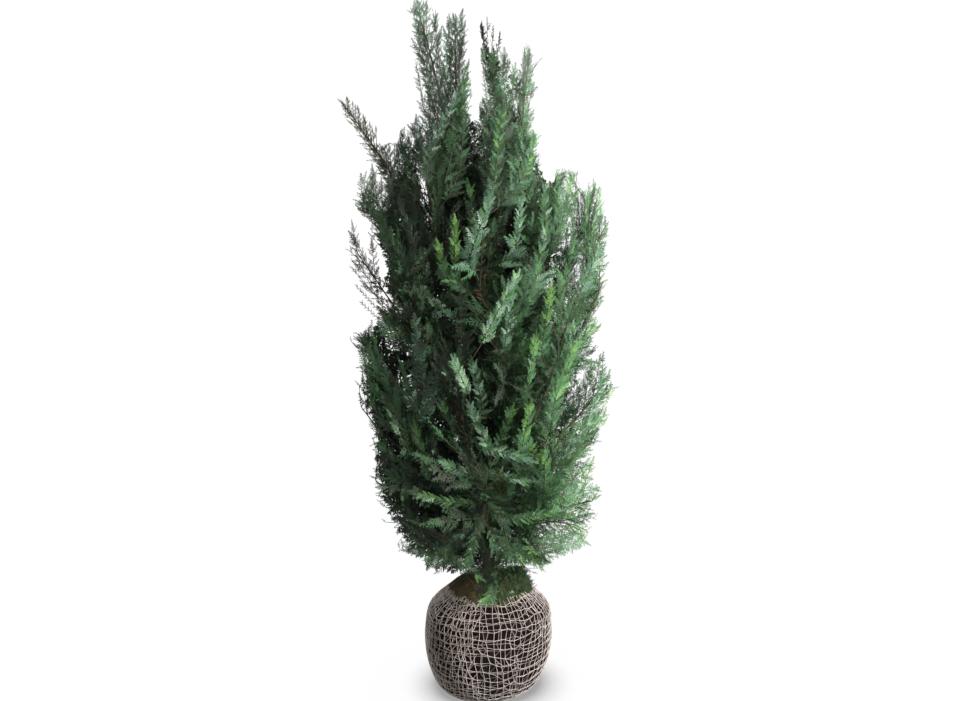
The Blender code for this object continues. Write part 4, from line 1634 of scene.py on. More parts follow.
        # The right side, where the key lamp stands, gets lighter greens and more pale waxy sprays: painted
        # light.
        side = 0.5 + 0.5 * max(-1.0, min(1.0, (middle.x + 0.02) / 0.24))
        depth_and_shade, by_share, painted_light_by_side = self.greens_by
        greens = depth_and_shade * min(outer, 1.1) + by_share * share + painted_light_by_side * side - self.darkest
        greens += self.dice.gauss(0.0, self.tone_spread)
        waxy = outer > 0.6 and self.dice.random() < 0.04 + 0.26 * side**2
        lift = -0.25 if self.row.bow is Bow.DROOPING else self.dice.uniform(0.05, 0.60)
        own = self.dress.own if outer > 0.45 else ()
        # On the left, away from the key lamp, some plumes take the greys: painted shade.
        if side < 0.40 and not own and self.dice.random() < 0.35:
            own = SHADED_GREYS
        return Tone(greens + self.dress.shift, 0.02 + (0.45 if waxy else 0.0), own), lift

    def leafy(self) -> list[Vector]:
        """The stretch of the stem that carries plumes."""
        return split_way(self.stem, self.reached)[0]


@dataclass(frozen=True)
class LimbPlumes:
    """Short plumes that stand on an upright limb itself and close the middle of the crown."""

    limb: str
    first: float
    seed: int
    pitch: float = 0.016
    length: float = 0.17
    bare_top: float = 0.03
    low_reach: float = 0.25
    size_share: float = 0.40

    def grow(self, points: list[Vector], foliage: Foliage) -> None:
        """Grows the plumes up the limb, each a golden turn round from the one below.

        Args:
            points: The limb's middle line.
            foliage: The plant's sprays and twigs, which grow.
        """
        dice = random.Random(self.seed)
        count = int((points[-1].z - self.bare_top - self.first) / self.pitch)
        for index in range(count):
            height = self.first + self.pitch * index
            turn = GOLDEN_TURN * index + dice.uniform(-0.3, 0.3)
            low = max(0.0, 1 - (height - self.first) / self.low_reach)
            rise = Vector((0.0, 0.0, dice.uniform(0.35, 0.95) - 0.5 * low))
            direction = (outward(turn) + rise).normalized()
            face = rolled(direction.cross(sideways(turn)).normalized(), direction, dice.uniform(-70, 70))
            length = self.length * dice.uniform(0.8, 1.2)
            line = bowed(at_height(points, height), direction, length, dice.uniform(0.1, 0.6))
            # These plumes in the crown's middle draw from the darker greens: partly painted shade of the
            # crown's inside.
            tone = Tone(dice.uniform(0.0, 1.1), 0.02)
            Plume(line, face, tone, dice, spray_length=self.size_share * length).grow(foliage)


LIMB_PLUMES = (LimbPlumes("trunk", 0.40, 41), LimbPlumes("right_leader", 0.80, 43))


@dataclass(frozen=True)
class Accent:
    """A plume that stands out from the crown's face: how far right and how high its foot and its tip are.

    One that is ahead stands further out than its neighbours, so that none hides it. Its twig is bare
    for a share of the way from its stem.
    """

    foot_x: float
    foot_z: float
    tip_x: float
    tip_z: float
    tone: AccentTone
    breadth: float
    ahead: float = 1.0
    bare: float = 0.15


ACCENTS = (
    Accent(-0.165, 1.590, -0.080, 1.770, AccentTone.PALE, 0.45, 1.25),
    Accent(0.015, 1.540, 0.035, 1.725, AccentTone.FRESH, 0.4, 1.15),
    Accent(0.060, 1.505, 0.120, 1.675, AccentTone.PALE, 0.8),
    Accent(-0.055, 1.320, 0.005, 1.495, AccentTone.PALE, 0.9, 1.12),
    Accent(-0.090, 1.275, -0.090, 1.435, AccentTone.TIP, 0.4, 1.12),
    Accent(-0.112, 1.275, -0.135, 1.365, AccentTone.TIP, 0.9),
    # This frond takes the darkest greens: painted shade.
    Accent(-0.075, 1.060, -0.075, 1.235, AccentTone.PAINTED_SHADE, 1.0, 1.10),
    Accent(-0.040, 1.415, -0.055, 1.520, AccentTone.FRESH, 0.7),
    Accent(-0.026, 1.225, -0.018, 1.400, AccentTone.RUST, 0.15, 1.10),
    Accent(-0.255, 1.300, -0.125, 1.200, AccentTone.WAXY, 0.5),
    Accent(-0.035, 1.080, 0.075, 1.295, AccentTone.BRIGHT, 0.40, 1.12, 0.35),
    Accent(0.110, 1.205, 0.130, 1.310, AccentTone.FRESH, 0.8),
    Accent(0.140, 1.075, 0.165, 1.255, AccentTone.TIP, 0.6),
    Accent(0.170, 1.375, 0.245, 1.570, AccentTone.FRESH, 0.9),
    Accent(0.270, 1.355, 0.310, 1.535, AccentTone.FRESH, 0.7),
    Accent(0.120, 1.255, 0.150, 1.405, AccentTone.WAXY, 0.9),
    Accent(0.240, 1.210, 0.315, 1.355, AccentTone.WAXY, 1.0),
    Accent(0.180, 1.035, 0.305, 1.145, AccentTone.FRESH, 0.9),
    Accent(-0.180, 0.965, -0.200, 1.170, AccentTone.GREY, 1.1),
    Accent(-0.265, 1.360, -0.360, 1.530, AccentTone.MID, 0.9),
    Accent(-0.275, 0.955, -0.360, 1.100, AccentTone.FRESH, 1.0),
    Accent(-0.050, 0.960, -0.095, 1.070, AccentTone.BRIGHT, 0.55, 1.08, 0.45),
    Accent(-0.015, 0.925, -0.045, 1.065, AccentTone.WAXY, 0.5),
    Accent(-0.100, 0.860, -0.130, 0.950, AccentTone.FRESH, 1.0),
    Accent(0.005, 0.800, -0.055, 0.950, AccentTone.BRIGHT, 0.35, 1.0, 0.30),
    Accent(0.025, 0.815, 0.060, 0.935, AccentTone.TIP, 0.6),
    Accent(0.085, 0.790, 0.110, 0.940, AccentTone.TIP, 0.9),
    Accent(0.000, 0.810, 0.115, 0.785, AccentTone.WAXY, 0.6),
    Accent(-0.040, 0.730, -0.120, 0.780, AccentTone.WAXY, 0.8),
    Accent(-0.015, 0.740, 0.100, 0.730, AccentTone.WAXY, 0.6),
    Accent(0.030, 0.660, 0.025, 0.765, AccentTone.OLIVE, 0.6),
    Accent(-0.005, 0.650, 0.050, 0.595, AccentTone.PALE, 0.45),
    Accent(-0.165, 0.715, -0.200, 0.885, AccentTone.FRESH, 0.4),
    Accent(-0.120, 0.655, -0.200, 0.680, AccentTone.TIP, 0.5),
    Accent(0.155, 0.650, 0.320, 0.655, AccentTone.WAXY, 0.9),
    Accent(0.120, 0.510, 0.310, 0.490, AccentTone.WAXY, 0.8),
    Accent(-0.150, 0.505, -0.285, 0.455, AccentTone.FRESH, 0.8),
    Accent(0.180, 0.945, 0.235, 1.090, AccentTone.TIP, 0.9),
    Accent(0.155, 0.675, 0.150, 0.815, AccentTone.FRESH, 0.9),
    Accent(0.100, 0.950, 0.125, 1.130, AccentTone.TIP, 0.45),
    Accent(0.040, 1.085, 0.060, 1.235, AccentTone.WAXY, 0.8),
    Accent(0.070, 1.350, 0.085, 1.490, AccentTone.WAXY, 0.9),
    Accent(0.240, 0.770, 0.340, 0.920, AccentTone.FRESH, 0.9),
    Accent(-0.275, 1.130, -0.345, 1.235, AccentTone.MID, 0.8),
    Accent(-0.220, 0.740, -0.310, 0.805, AccentTone.MID, 0.9),
    Accent(0.285, 0.865, 0.325, 0.995, AccentTone.WAXY, 0.8),
    Accent(-0.200, 1.350, -0.240, 1.480, AccentTone.GREY, 0.8),
    Accent(-0.145, 1.400, -0.130, 1.560, AccentTone.DEEP, 0.8),
    Accent(0.080, 1.560, 0.105, 1.750, AccentTone.MID, 0.7),
    Accent(0.190, 1.215, 0.230, 1.375, AccentTone.MID, 0.9),
    Accent(-0.245, 0.880, -0.325, 0.970, AccentTone.MID, 0.9),
    Accent(0.085, 0.600, 0.195, 0.625, AccentTone.FRESH, 0.7),
    Accent(-0.095, 0.535, -0.185, 0.450, AccentTone.MID, 0.8),
    Accent(0.030, 0.520, 0.160, 0.440, AccentTone.FRESH, 0.8),
    Accent(-0.095, 0.470, -0.025, 0.430, AccentTone.MID, 0.7),
    Accent(-0.145, 1.695, -0.215, 2.020, AccentTone.GREY, 0.3),
    Accent(-0.135, 1.680, -0.185, 1.955, AccentTone.GREY, 0.4),
    Accent(-0.160, 1.615, -0.205, 1.865, AccentTone.GREY, 0.4),
    Accent(-0.120, 1.715, -0.155, 1.995, AccentTone.GREY, 0.35),
    Accent(-0.100, 1.695, -0.115, 1.975, AccentTone.GREY, 0.35),
    Accent(-0.095, 1.640, -0.075, 1.920, AccentTone.GREY, 0.35),
    Accent(-0.105, 1.585, -0.060, 1.815, AccentTone.MID, 0.45),
    Accent(-0.135, 1.545, -0.170, 1.770, AccentTone.DEEP, 0.7),
    Accent(-0.170, 1.520, -0.195, 1.695, AccentTone.GREY, 0.6),
    Accent(-0.080, 1.555, -0.065, 1.720, AccentTone.DEEP, 0.6),
    Accent(0.005, 1.640, -0.025, 1.895, AccentTone.GREY, 0.35),
    Accent(0.015, 1.640, 0.010, 1.885, AccentTone.DEEP, 0.45),
    Accent(0.030, 1.615, 0.040, 1.880, AccentTone.GREY, 0.6),
    Accent(0.040, 1.615, 0.070, 1.840, AccentTone.DEEP, 0.6),
    Accent(0.085, 1.640, 0.115, 1.945, AccentTone.GREY, 0.4),
    Accent(0.080, 1.585, 0.125, 1.820, AccentTone.MID, 0.6),
    Accent(-0.005, 1.545, -0.030, 1.755, AccentTone.DEEP, 0.6),
    Accent(0.095, 1.520, 0.135, 1.690, AccentTone.FRESH, 0.6),
    Accent(0.030, 1.505, 0.015, 1.690, AccentTone.DEEP, 0.7),
    Accent(0.190, 1.375, 0.180, 1.575, AccentTone.MID, 0.6),
    Accent(0.225, 1.345, 0.245, 1.570, AccentTone.MID, 0.7),
    Accent(0.270, 1.345, 0.275, 1.530, AccentTone.FRESH, 0.6),
    Accent(0.280, 1.310, 0.310, 1.510, AccentTone.FRESH, 0.6),
    Accent(0.150, 1.395, 0.150, 1.550, AccentTone.MID, 0.6),
    Accent(-0.280, 1.465, -0.250, 1.655, AccentTone.GREY, 0.6),
    Accent(0.090, 1.540, 0.128, 1.660, AccentTone.FRESH, 0.6, 1.1),
    Accent(-0.310, 1.320, -0.345, 1.490, AccentTone.DEEP, 0.8),
    Accent(-0.260, 1.270, -0.300, 1.450, AccentTone.DEEP, 0.8),
    Accent(-0.210, 1.230, -0.245, 1.400, AccentTone.DEEP, 0.8),
    Accent(-0.290, 1.180, -0.320, 1.330, AccentTone.GREY, 0.7),
    Accent(0.040, 0.590, 0.065, 0.470, AccentTone.MID, 0.6),
    Accent(-0.030, 0.580, -0.060, 0.470, AccentTone.MID, 0.6),
    Accent(0.020, 0.420, -0.010, 0.318, AccentTone.FRESH, 0.6),
    Accent(0.034, 0.372, -0.034, 0.346, AccentTone.FRESH, 0.9),
    Accent(-0.288, 1.176, -0.376, 1.330, AccentTone.BARE, 0.12),
    Accent(-0.312, 1.215, -0.394, 1.302, AccentTone.BARE, 0.12),
    Accent(-0.288, 1.162, -0.378, 1.247, AccentTone.BARE, 0.12),
    Accent(-0.300, 1.150, -0.378, 1.212, AccentTone.BARE, 0.12),
    Accent(-0.320, 1.270, -0.386, 1.392, AccentTone.BARE, 0.14),
    Accent(-0.345, 1.066, -0.390, 1.112, AccentTone.BARE, 0.14),
    Accent(-0.325, 0.900, -0.355, 1.050, AccentTone.FRESH, 0.9),
    Accent(-0.290, 1.000, -0.325, 1.120, AccentTone.MID, 0.9),
    Accent(-0.200, 0.900, -0.240, 1.050, AccentTone.MID, 1.0),
)


@dataclass
class Infill:
    """Plumes that are set last: those that stand out, those behind, and those that close thin places."""

    stems: list[list[Vector]]
    foliage: Foliage
    seed: int = 77
    tries: int = 900
    passes: int = 2
    thin: float = 0.034
    stem_steps: int = 24
    depth_shares: tuple = (0.82, 0.98)
    spray_pitch: float = 0.0080
    spray_range: tuple = (0.030, 0.064)
    behind_count: int = 70
    behind_bearings: tuple = (5, 170)
    behind_heights: tuple = (0.52, 1.10)
    golden_share: float = 0.618034
    close_heights: tuple = (0.42, 1.66)
    thin_side: tuple = (0.16, 1.25)
    longest: float = 0.22
    past: float = 0.07
    twig_back: float = 0.06
    twig_dip: float = 0.30
    face_rise: float = 0.25
    face_roll: float = 28
    least_share: float = 0.10
    size_share: float = 0.38
    behind_depths: tuple = (0.66, 0.80)
    behind_lengths: tuple = (0.13, 0.21)
    behind_breadths: tuple = (0.5, 1.0)
    behind_aside: float = 0.5
    behind_lean: float = 0.45
    edge_shares: tuple = (0.86, 0.14)

    def __post_init__(self) -> None:
        """Sorts the stems' points, so that a new plume finds the nearest."""
        self.dice = random.Random(self.seed)
        self.tree = tree_of([point for stem in self.stems for point in resampled(stem, self.stem_steps)])

    def stand_out(self, accent: Accent) -> None:
        """Grows one plume on the crown's face, and the twig that carries it.

        Args:
            accent: The plume.
        """
        places = ((accent.foot_x, accent.foot_z), (accent.tip_x, accent.tip_z))
        foot, tip = (
            Vector((x, share * accent.ahead * CROWN_FORM.front(x, z), z))
            for share, (x, z) in zip(self.depth_shares, places)
        )
        self._carried(foot, tip, accent.tone, accent.breadth, accent.bare)

    def _carried(self, foot: Vector, tip: Vector, kind: AccentTone, breadth: float, bare: float) -> None:
        """Grows a plume from foot to tip, on a twig from the nearest stem.

        Args:
            foot: Where its lowest sprays stand.
            tip: Where it ends.
            kind: Its colouring.
            breadth: How broad it is, by a usual one.
            bare: How much of the way from the stem has no sprays.
        """
        way = tip - foot
        direction = way.normalized()
        root, _, _ = self.tree.find(foot - direction * self.twig_back)
        middle = (root + foot) / 2 - direction * (self.twig_dip * (foot - root).length)
        line = resampled([*bent_way(root, middle, foot, 5), foot + way * 0.5, tip], 10)
        out = Vector((foot.x, foot.y, 0.0)).normalized() + Vector((0.0, 0.0, self.face_rise))
        roll = self.dice.uniform(-self.face_roll, self.face_roll)
        face = squared(rolled(out, direction, roll), direction)
        least = min(self.spray_range[0], self.least_share * breadth)
        size = max(least, min(self.spray_range[1], self.size_share * breadth * way.length))
        least, beyond = min(Plume.least, least), kind is AccentTone.BARE
        plume = Plume(line, face, kind.value, self.dice, self.spray_pitch, size, bare, least, beyond)
        plume.grow(self.foliage)

    def behind(self) -> None:
        """Grows plumes on the sides and the back, spread evenly, with tones drawn at random."""
        tones = [AccentTone[name] for name in ("FRESH", "MID", "TIP", "WAXY", "PALE", "GREY")]
        for index in range(self.behind_count):
            share = (index * self.golden_share) % 1.0
            bearing = math.radians(self.behind_bearings[0] + self.behind_bearings[1] * share)
            height = self.behind_heights[0] + self.behind_heights[1] * (index + 0.5) / self.behind_count
            reach = crown_reach(height) * self.dice.uniform(*self.behind_depths)
            foot = Vector((reach * math.cos(bearing), reach * math.sin(bearing), height))
            out = outward(bearing)
            aside = self.dice.uniform(-self.behind_aside, self.behind_aside)
            length = self.dice.uniform(*self.behind_lengths)
            way = out * self.behind_lean + Vector((-out.y, out.x, 0.0)) * aside + Vector((0.0, 0.0, 1.0))
            tone, breadth = self.dice.choice(tones), self.dice.uniform(*self.behind_breadths)
            self._carried(foot, foot + way.normalized() * length, tone, breadth, Accent.bare)

    def close(self) -> None:
        """Grows inner plumes towards the places that have no spray near them."""
        for _ in range(self.passes):
            known = tree_of([s.place + s.direction * (s.length / 2) for s in self.foliage.sprays])
            for _ in range(self.tries):
                height = self.dice.uniform(*self.close_heights)
                bearing = self.dice.uniform(0.0, math.tau)
                edge = self.edge_shares[0] + self.edge_shares[1] * max(0.0, -math.cos(bearing))
                reach = crown_reach(height) * edge * math.sqrt(self.dice.random())
                goal = Vector((reach * math.cos(bearing), reach * math.sin(bearing), height))
                open_side = goal.x > self.thin_side[0] and goal.z < self.thin_side[1]
                if known.find(goal)[2] > self.thin and CROWN_FORM.holds(goal) and not open_side:
                    self._towards(goal)

    def _towards(self, goal: Vector) -> None:
        """Grows one inner plume from the nearest stem past a place.

        Args:
            goal: The place.
        """
        root, _, reach = self.tree.find(goal - Vector((0.0, 0.0, 0.05)))
        direction = (goal - root + Vector((0.0, 0.0, 0.02))).normalized()
        turn = Matrix.Rotation(self.dice.uniform(0.0, math.tau), 3, direction)
        face = turn @ direction.orthogonal().normalized()
        length = min(self.longest, reach + self.past)
        # Inner plumes draw from the darker greens: partly painted shade of the crown's inside.
        tone = Tone(self.dice.uniform(-0.2, 1.2), 0.02)
        points = bowed(root, direction, length, 0.1)
        Plume(points, face, tone, self.dice, 0.014, 0.5 * length).grow(self.foliage)


@dataclass
class JoinedMesh:
    """Many small shapes joined into one mesh from arrays."""

    points: list[np.ndarray] = field(default_factory=list)
    faces: list[np.ndarray] = field(default_factory=list)
    count: int = 0

    def add(self, points: np.ndarray, faces: np.ndarray) -> None:
        """Adds one shape, or several that share an array.

        Args:
            points: Rows of three coordinates.
            faces: Rows of three corners, counted from the shape's own first point.
        """
        self.points.append(points)
        self.faces.append(faces + self.count)
        self.count += len(points)

    def add_copies(self, shape: tuple[np.ndarray, np.ndarray], matrices: np.ndarray) -> None:
        """Adds copies of a shape.

        Args:
            shape: Its points and triangles.
            matrices: Where each copy goes, as three rows of four.
        """
        points, faces = shape
        placed = np.einsum("nij,pj->npi", matrices[:, :, :3], points) + matrices[:, None, :, 3]
        offsets = np.arange(len(matrices), dtype=np.int32)[:, None, None] * len(points)
        self.add(placed.reshape(-1, 3), (faces[None] + offsets).reshape(-1, 3))

    def to_object(self, name: str) -> Object:
        """The joined mesh as an object in the scene.

        Args:
            name: Its name.

        Returns:
            The object.
        """
        points = np.concatenate(self.points).astype(np.float32)
        faces = np.concatenate(self.faces).astype(np.int32)
        mesh = bpy.data.meshes.new(name)
        mesh.vertices.add(len(points))
        mesh.vertices.foreach_set("co", points.ravel())
        mesh.loops.add(faces.size)
        mesh.loops.foreach_set("vertex_index", faces.ravel())
        mesh.polygons.add(len(faces))
        mesh.polygons.foreach_set("loop_start", np.arange(0, faces.size, 3, dtype=np.int32))
        mesh.update(calc_edges=True)
        mesh.validate()
        made = bpy.data.objects.new(name, mesh)
        bpy.context.scene.collection.objects.link(made)
        return made


def tube(points: list[Vector], radii: list[float], sides: int) -> tuple[np.ndarray, np.ndarray]:
    """A thin tapering tube with a pointed end.

    Args:
        points: Its middle line.
        radii: Its radius at each point.
        sides: How many sides it has.

    Returns:
        Its points and triangles.
    """
    places = []
    axis = (points[-1] - points[0]).normalized()
    first = axis.orthogonal().normalized()
    for point, radius in zip(points, radii):
        for side in range(sides):
            turn = Matrix.Rotation(math.tau * side / sides, 3, axis)
            places.append(tuple(point + turn @ first * radius))
    places.append(tuple(points[-1] + axis * radii[-1] * 2))
    faces = []
    for ring in range(len(points) - 1):
        for side in range(sides):
            a, b = ring * sides + side, ring * sides + (side + 1) % sides
            faces.append((a, b, b + sides))
            faces.append((a, b + sides, a + sides))
    last = (len(points) - 1) * sides
    for side in range(sides):
        faces.append((last + side, last + (side + 1) % sides, len(places) - 1))
    return np.array(places), np.array(faces, np.int32)


@dataclass
class Limb:
    """A round limb with the bark's relief, extruded ring by ring along its line."""

    name: str
    points: list[Vector]
    radii: list[float]
    sides: int
    relief: float
    ring_pitch: float = 0.008
    knots: ClassVar[tuple] = (0.022, 1)
    knots_share: ClassVar[float] = 1.4
    strips: ClassVar[tuple] = (0.0048, 2)

    def model(self, finish: Material, *nodes: str) -> None:
        """Makes the limb.

        Args:
            finish: Its bark.
            nodes: The CAD nodes that it stands for.
        """
        lengths = marks(self.points)
        length = float(lengths[-1])
        steps = max(4, round(length / self.ring_pitch))
        line = resampled(self.points, steps)
        radii = [float(np.interp(length * i / (steps - 1), lengths, self.radii)) for i in range(steps)]
        made = start_rings(self.sides, radii[0], True, line[0], (line[1] - line[0]).normalized())
        for index in range(1, steps):
            step = line[index] - line[index - 1]
            bpy.ops.mesh.extrude_region_move(TRANSFORM_OT_translate={"value": step})
            ratio = radii[index] / radii[index - 1]
            bpy.ops.transform.resize(value=(ratio,) * 3, center_override=line[index])
            if index < steps - 1:
                ahead = (line[index + 1] - line[index]).normalized()
                self._turn_ring(step.normalized(), ahead, line[index])
        end_rings()
        subdivide(made, 1)
        Relief("bark_knots", *self.knots, self.relief * self.knots_share, 2.0).press(made)
        Relief("bark_strips", *self.strips, self.relief, 7.0).press(made)
        finish_piece(made, self.name, finish, "bark", *nodes)

    @staticmethod
    def _turn_ring(before: Vector, ahead: Vector, centre: Vector) -> None:
        """Turns the selected ring from one direction to the next.

        Args:
            before: The line's direction so far.
            ahead: Its direction from here on.
            centre: The ring's middle.
        """
        axis = before.cross(ahead)
        if axis.length < 1e-6:
            return
        first = axis.normalized()
        second = first.orthogonal().normalized()
        bpy.ops.transform.rotate(
            value=-before.angle(ahead),
            orient_axis="Z",
            orient_type="GLOBAL",
            orient_matrix=(second, first.cross(second), first),
            orient_matrix_type="GLOBAL",
            center_override=centre,
        )


@dataclass
class Crown:
    """The limbs, and the twigs and sprays that grow on from them."""

    foliage: Foliage = field(default_factory=Foliage)
    masses: list[Mass] = field(default_factory=list)
    most_faces: int = 180_000
    trunk_bark: BarkFinish = BarkFinish("trunk_bark", (0.030, 0.017, 0.012), (0.185, 0.110, 0.075))
    bough_bark: BarkFinish = BarkFinish("bough_bark", (0.040, 0.022, 0.014), (0.210, 0.120, 0.070))
    twig_bark: BarkFinish = BarkFinish("twig_bark", (0.036, 0.024, 0.015), (0.130, 0.090, 0.048))
    limb_sides: int = 28
    limb_relief: float = 0.0016
    bough_sides: int = 12
    bough_relief: float = 0.0008
    stout_twig: float = 0.002

    def build(self) -> None:
        """Makes the trunk, the right leader, the boughs, and all the foliage."""
        lines = {"trunk": trunk_line(), "right_leader": leader_line()}
        parents = {name: line for name, (line, _) in lines.items()}
        bark = self.trunk_bark.material()
        for name, (line, radii) in lines.items():
            Limb(f"{name}_bark", line, radii, self.limb_sides, self.limb_relief).model(bark, name)
        bark = self.bough_bark.material()
        for index, row in enumerate([*BRANCHES, *back_branches()]):
            self._branch(row, branch_way(row, parents, WAY_STEPS), SEED + index, bark)
        for plumes in LIMB_PLUMES:
            plumes.grow(parents[plumes.limb], self.foliage)
        infill = Infill([*(mass.leafy() for mass in self.masses), *parents.values()], self.foliage)
        for accent in ACCENTS:
            infill.stand_out(accent)
        infill.behind()
        infill.close()
        self._join_twigs()
        self._join_sprays()

    def _branch(self, row: Branch, way: list[Vector], seed: int, bark: Material) -> None:
        """Makes one branch: its bare foot, as a bough or a thin stem, and its mass of foliage.

        Args:
            row: The branch's sizes.
            way: Its line, from foot to tip.
            seed: The seed of its foliage.
            bark: The boughs' bark.
        """
        bare, leafy = ([], way) if row.foot is TOP else split_way(way, row.bare)
        if row.bough:
            radii = even_radii(BOUGH_RADII, len(bare))
            limb = Limb(f"{row.name}_limb", bare, radii, self.bough_sides, self.bough_relief)
            limb.model(bark, f"{row.name}_bough")
        elif bare:
            self.foliage.add_twig(bare, (STEM_RADII[0] * STEM_FOOT, STEM_RADII[0]))
        mass = Mass(row, bare, resampled(leafy, LEAFY_STEPS), seed, self.foliage)
        mass.grow()
        self.foliage.add_twig(mass.leafy(), STEM_RADII)
        self.masses.append(mass)

    def _join_twigs(self) -> None:
        """Joins the stems and twigs into one piece, which stands for the masses' solids."""
        joined = JoinedMesh()
        for twig in self.foliage.twigs:
            joined.add(*tube(twig.points, twig.radii, 5 if twig.radii[0] > self.stout_twig else 3))
        nodes = [f"{mass.row.name}_foliage" for mass in self.masses]
        finish_piece(joined.to_object("twigs"), "twigs", self.twig_bark.material(), "bark", *nodes)

    def _join_sprays(self) -> None:
        """Joins the sprays of each tint into pieces of under the most faces."""
        shapes = {}
        for kind, forms in SPRAY_FORMS.items():
            shapes.update({(kind, i): form.build() for i, form in enumerate(forms)})
        LOG.info("%d sprays on %d twigs", len(self.foliage.sprays), len(self.foliage.twigs))
        for tint in Tint:
            finish = tint.value.material()
            chosen = [spray for spray in self.foliage.sprays if spray.tint is tint]
            total = sum(len(shapes[spray.detail, spray.form][1]) for spray in chosen)
            parts = math.ceil(total / self.most_faces)
            size = math.ceil(len(chosen) / max(1, parts))
            for part in range(parts):
                joined = JoinedMesh()
                batch = chosen[part * size : (part + 1) * size]
                for key, shape in shapes.items():
                    matrices = [s.matrix() for s in batch if (s.detail, s.form) == key]
                    if matrices:
                        joined.add_copies(shape, np.array(matrices))
                name = f"sprays_{tint.name.lower()}_{part + 1}"
                finish_piece(joined.to_object(name), name, finish, "foliage", smooth=False)


@dataclass(frozen=True)
class NetLayer:
    """One layer of netting: how many strands run up and round it, and how they lie.

    The skew is how far the upright strands lean round the ball from foot to rim, in radians. The
    lift is how far all stand off the soil, the slack is how uneven the cells are, the span is the
    bearings in degrees between which the layer is kept, and the zigzag is how far every other ring
    is turned, by the width of a cell.
    """

    name: str
    finish: YarnFinish
    ribs: int
    rings: int
    skew: float
    lift: float
    yarn: float
    slack: float
    seed: int
    span: tuple[float, float] | None = None
    zigzag: float = 0.0
    nodes: tuple[str, ...] = ()
    turn_strays: ClassVar[tuple] = (0.20, 0.080, 0.085)
    rise_strays: ClassVar[tuple] = (0.018, 0.011)

    def strayed(self, place: Vector, ring: int, offset: Vector) -> tuple[float, float]:
        """How a knot of the netting has strayed from its even place.

        Args:
            place: Its even place.
            ring: Its ring, counted from the lowest.
            offset: Where the layer reads its noise.

        Returns:
            The knot's turn round the ball, and how far it has moved up the ball's side.
        """
        x, y, z = place
        turn = math.atan2(y, x)
        height = z / SOIL_TOP
        around = noise.noise(Vector((math.cos(turn) * 1.6, math.sin(turn) * 1.6, height * 1.4)) + offset)
        fine = noise.noise(Vector((x * 60, y * 60, z * 60)) + offset)
        upright = noise.noise(Vector((x * 14, y * 14, z * 9)) - offset)
        bunch = noise.noise(Vector((x * 11, y * 11, z * 5)) + offset * 2)
        wide, narrow, bunched = self.turn_strays
        turn += wide * around + narrow * self.slack * fine + bunched * bunch + self.skew * height
        turn += self.zigzag * (ring % 2) * math.tau / self.ribs
        return turn, self.rise_strays[0] * upright + self.rise_strays[1] * self.slack * fine


WORN_YARN = YarnFinish("net_yarn_worn", (0.360, 0.306, 0.270), (0.160, 0.122, 0.100))
CLEAN_YARN = YarnFinish("net_yarn_clean", (0.735, 0.662, 0.616), (0.440, 0.362, 0.320))
TAN_YARN = YarnFinish("net_yarn_tan", (0.690, 0.570, 0.480), (0.440, 0.330, 0.260))
NET_LAYERS = (
    NetLayer("netting_wrap", WORN_YARN, 40, 19, 0.0, 0.0010, 0.0025, 1.3, 5, zigzag=0.5, nodes=("netting",)),
    NetLayer("netting_threads", CLEAN_YARN, 68, 16, 0.0, 0.0015, 0.0018, 0.7, 7),
    NetLayer("netting_fold", TAN_YARN, 52, 17, 0.9, 0.0018, 0.0016, 0.8, 9, (128.0, 256.0)),
)


@dataclass(frozen=True)
class MossTufts:
    """Small tufts of moss and seedlings on the mound: their tint, how many there are, and their seed."""

    tint: Tint
    count: int
    seed: int
    lowest: float = 0.298
    bare_left: float = -0.03
    thin_lowest: float = 0.33
    thin_every: int = 3
    sizes: tuple = (0.012, 0.024)
    lump_share: float = 0.35
    lump_size: float = 0.7
    roughness: float = 0.8

    def stands(self, index: int, place: Vector) -> bool:
        """Whether a point of the mound may carry a tuft: few do at the left."""
        thin = place.z > self.thin_lowest and index % self.thin_every == 0
        return place.z > self.lowest and (place.x > self.bare_left or thin)

    def model(self, ground: list[Vector], lump: tuple[float, float], reach: float) -> None:
        """Makes the tufts, thickest on the mound's tall lump.

        Args:
            ground: Points of the mound's surface.
            lump: The lump's middle.
            reach: How far the lump reaches.
        """
        dice = random.Random(self.seed)
        places = [place for index, place in enumerate(ground) if self.stands(index, place)]
        on_top = [p for p in places if math.hypot(p.x - lump[0], p.y - lump[1]) < reach]
        matrices = []
        for _ in range(self.count):
            on_lump = dice.random() < self.lump_share
            place = dice.choice(on_top if on_lump else places)
            turn = dice.uniform(0.0, math.tau)
            direction = outward(turn, dice.uniform(0.5, 1.6)).normalized()
            face = Vector((-math.sin(turn), math.cos(turn), dice.uniform(-1.0, 1.0))).normalized()
            size = dice.uniform(*self.sizes) * (self.lump_size if on_lump else 1.0)
            matrices.append(Spray(place, direction, face, size, Detail.SMALL, 0, self.tint).matrix())
        joined = JoinedMesh()
        joined.add_copies(SPRAY_FORMS[Detail.SMALL][0].build(), np.array(matrices))
        name = f"moss_tufts_{self.tint.name.lower()}"
        finish = LeafFinish(name, self.tint.value.colour, self.roughness).material()
        finish_piece(joined.to_object(name), name, finish, "foliage", smooth=False)


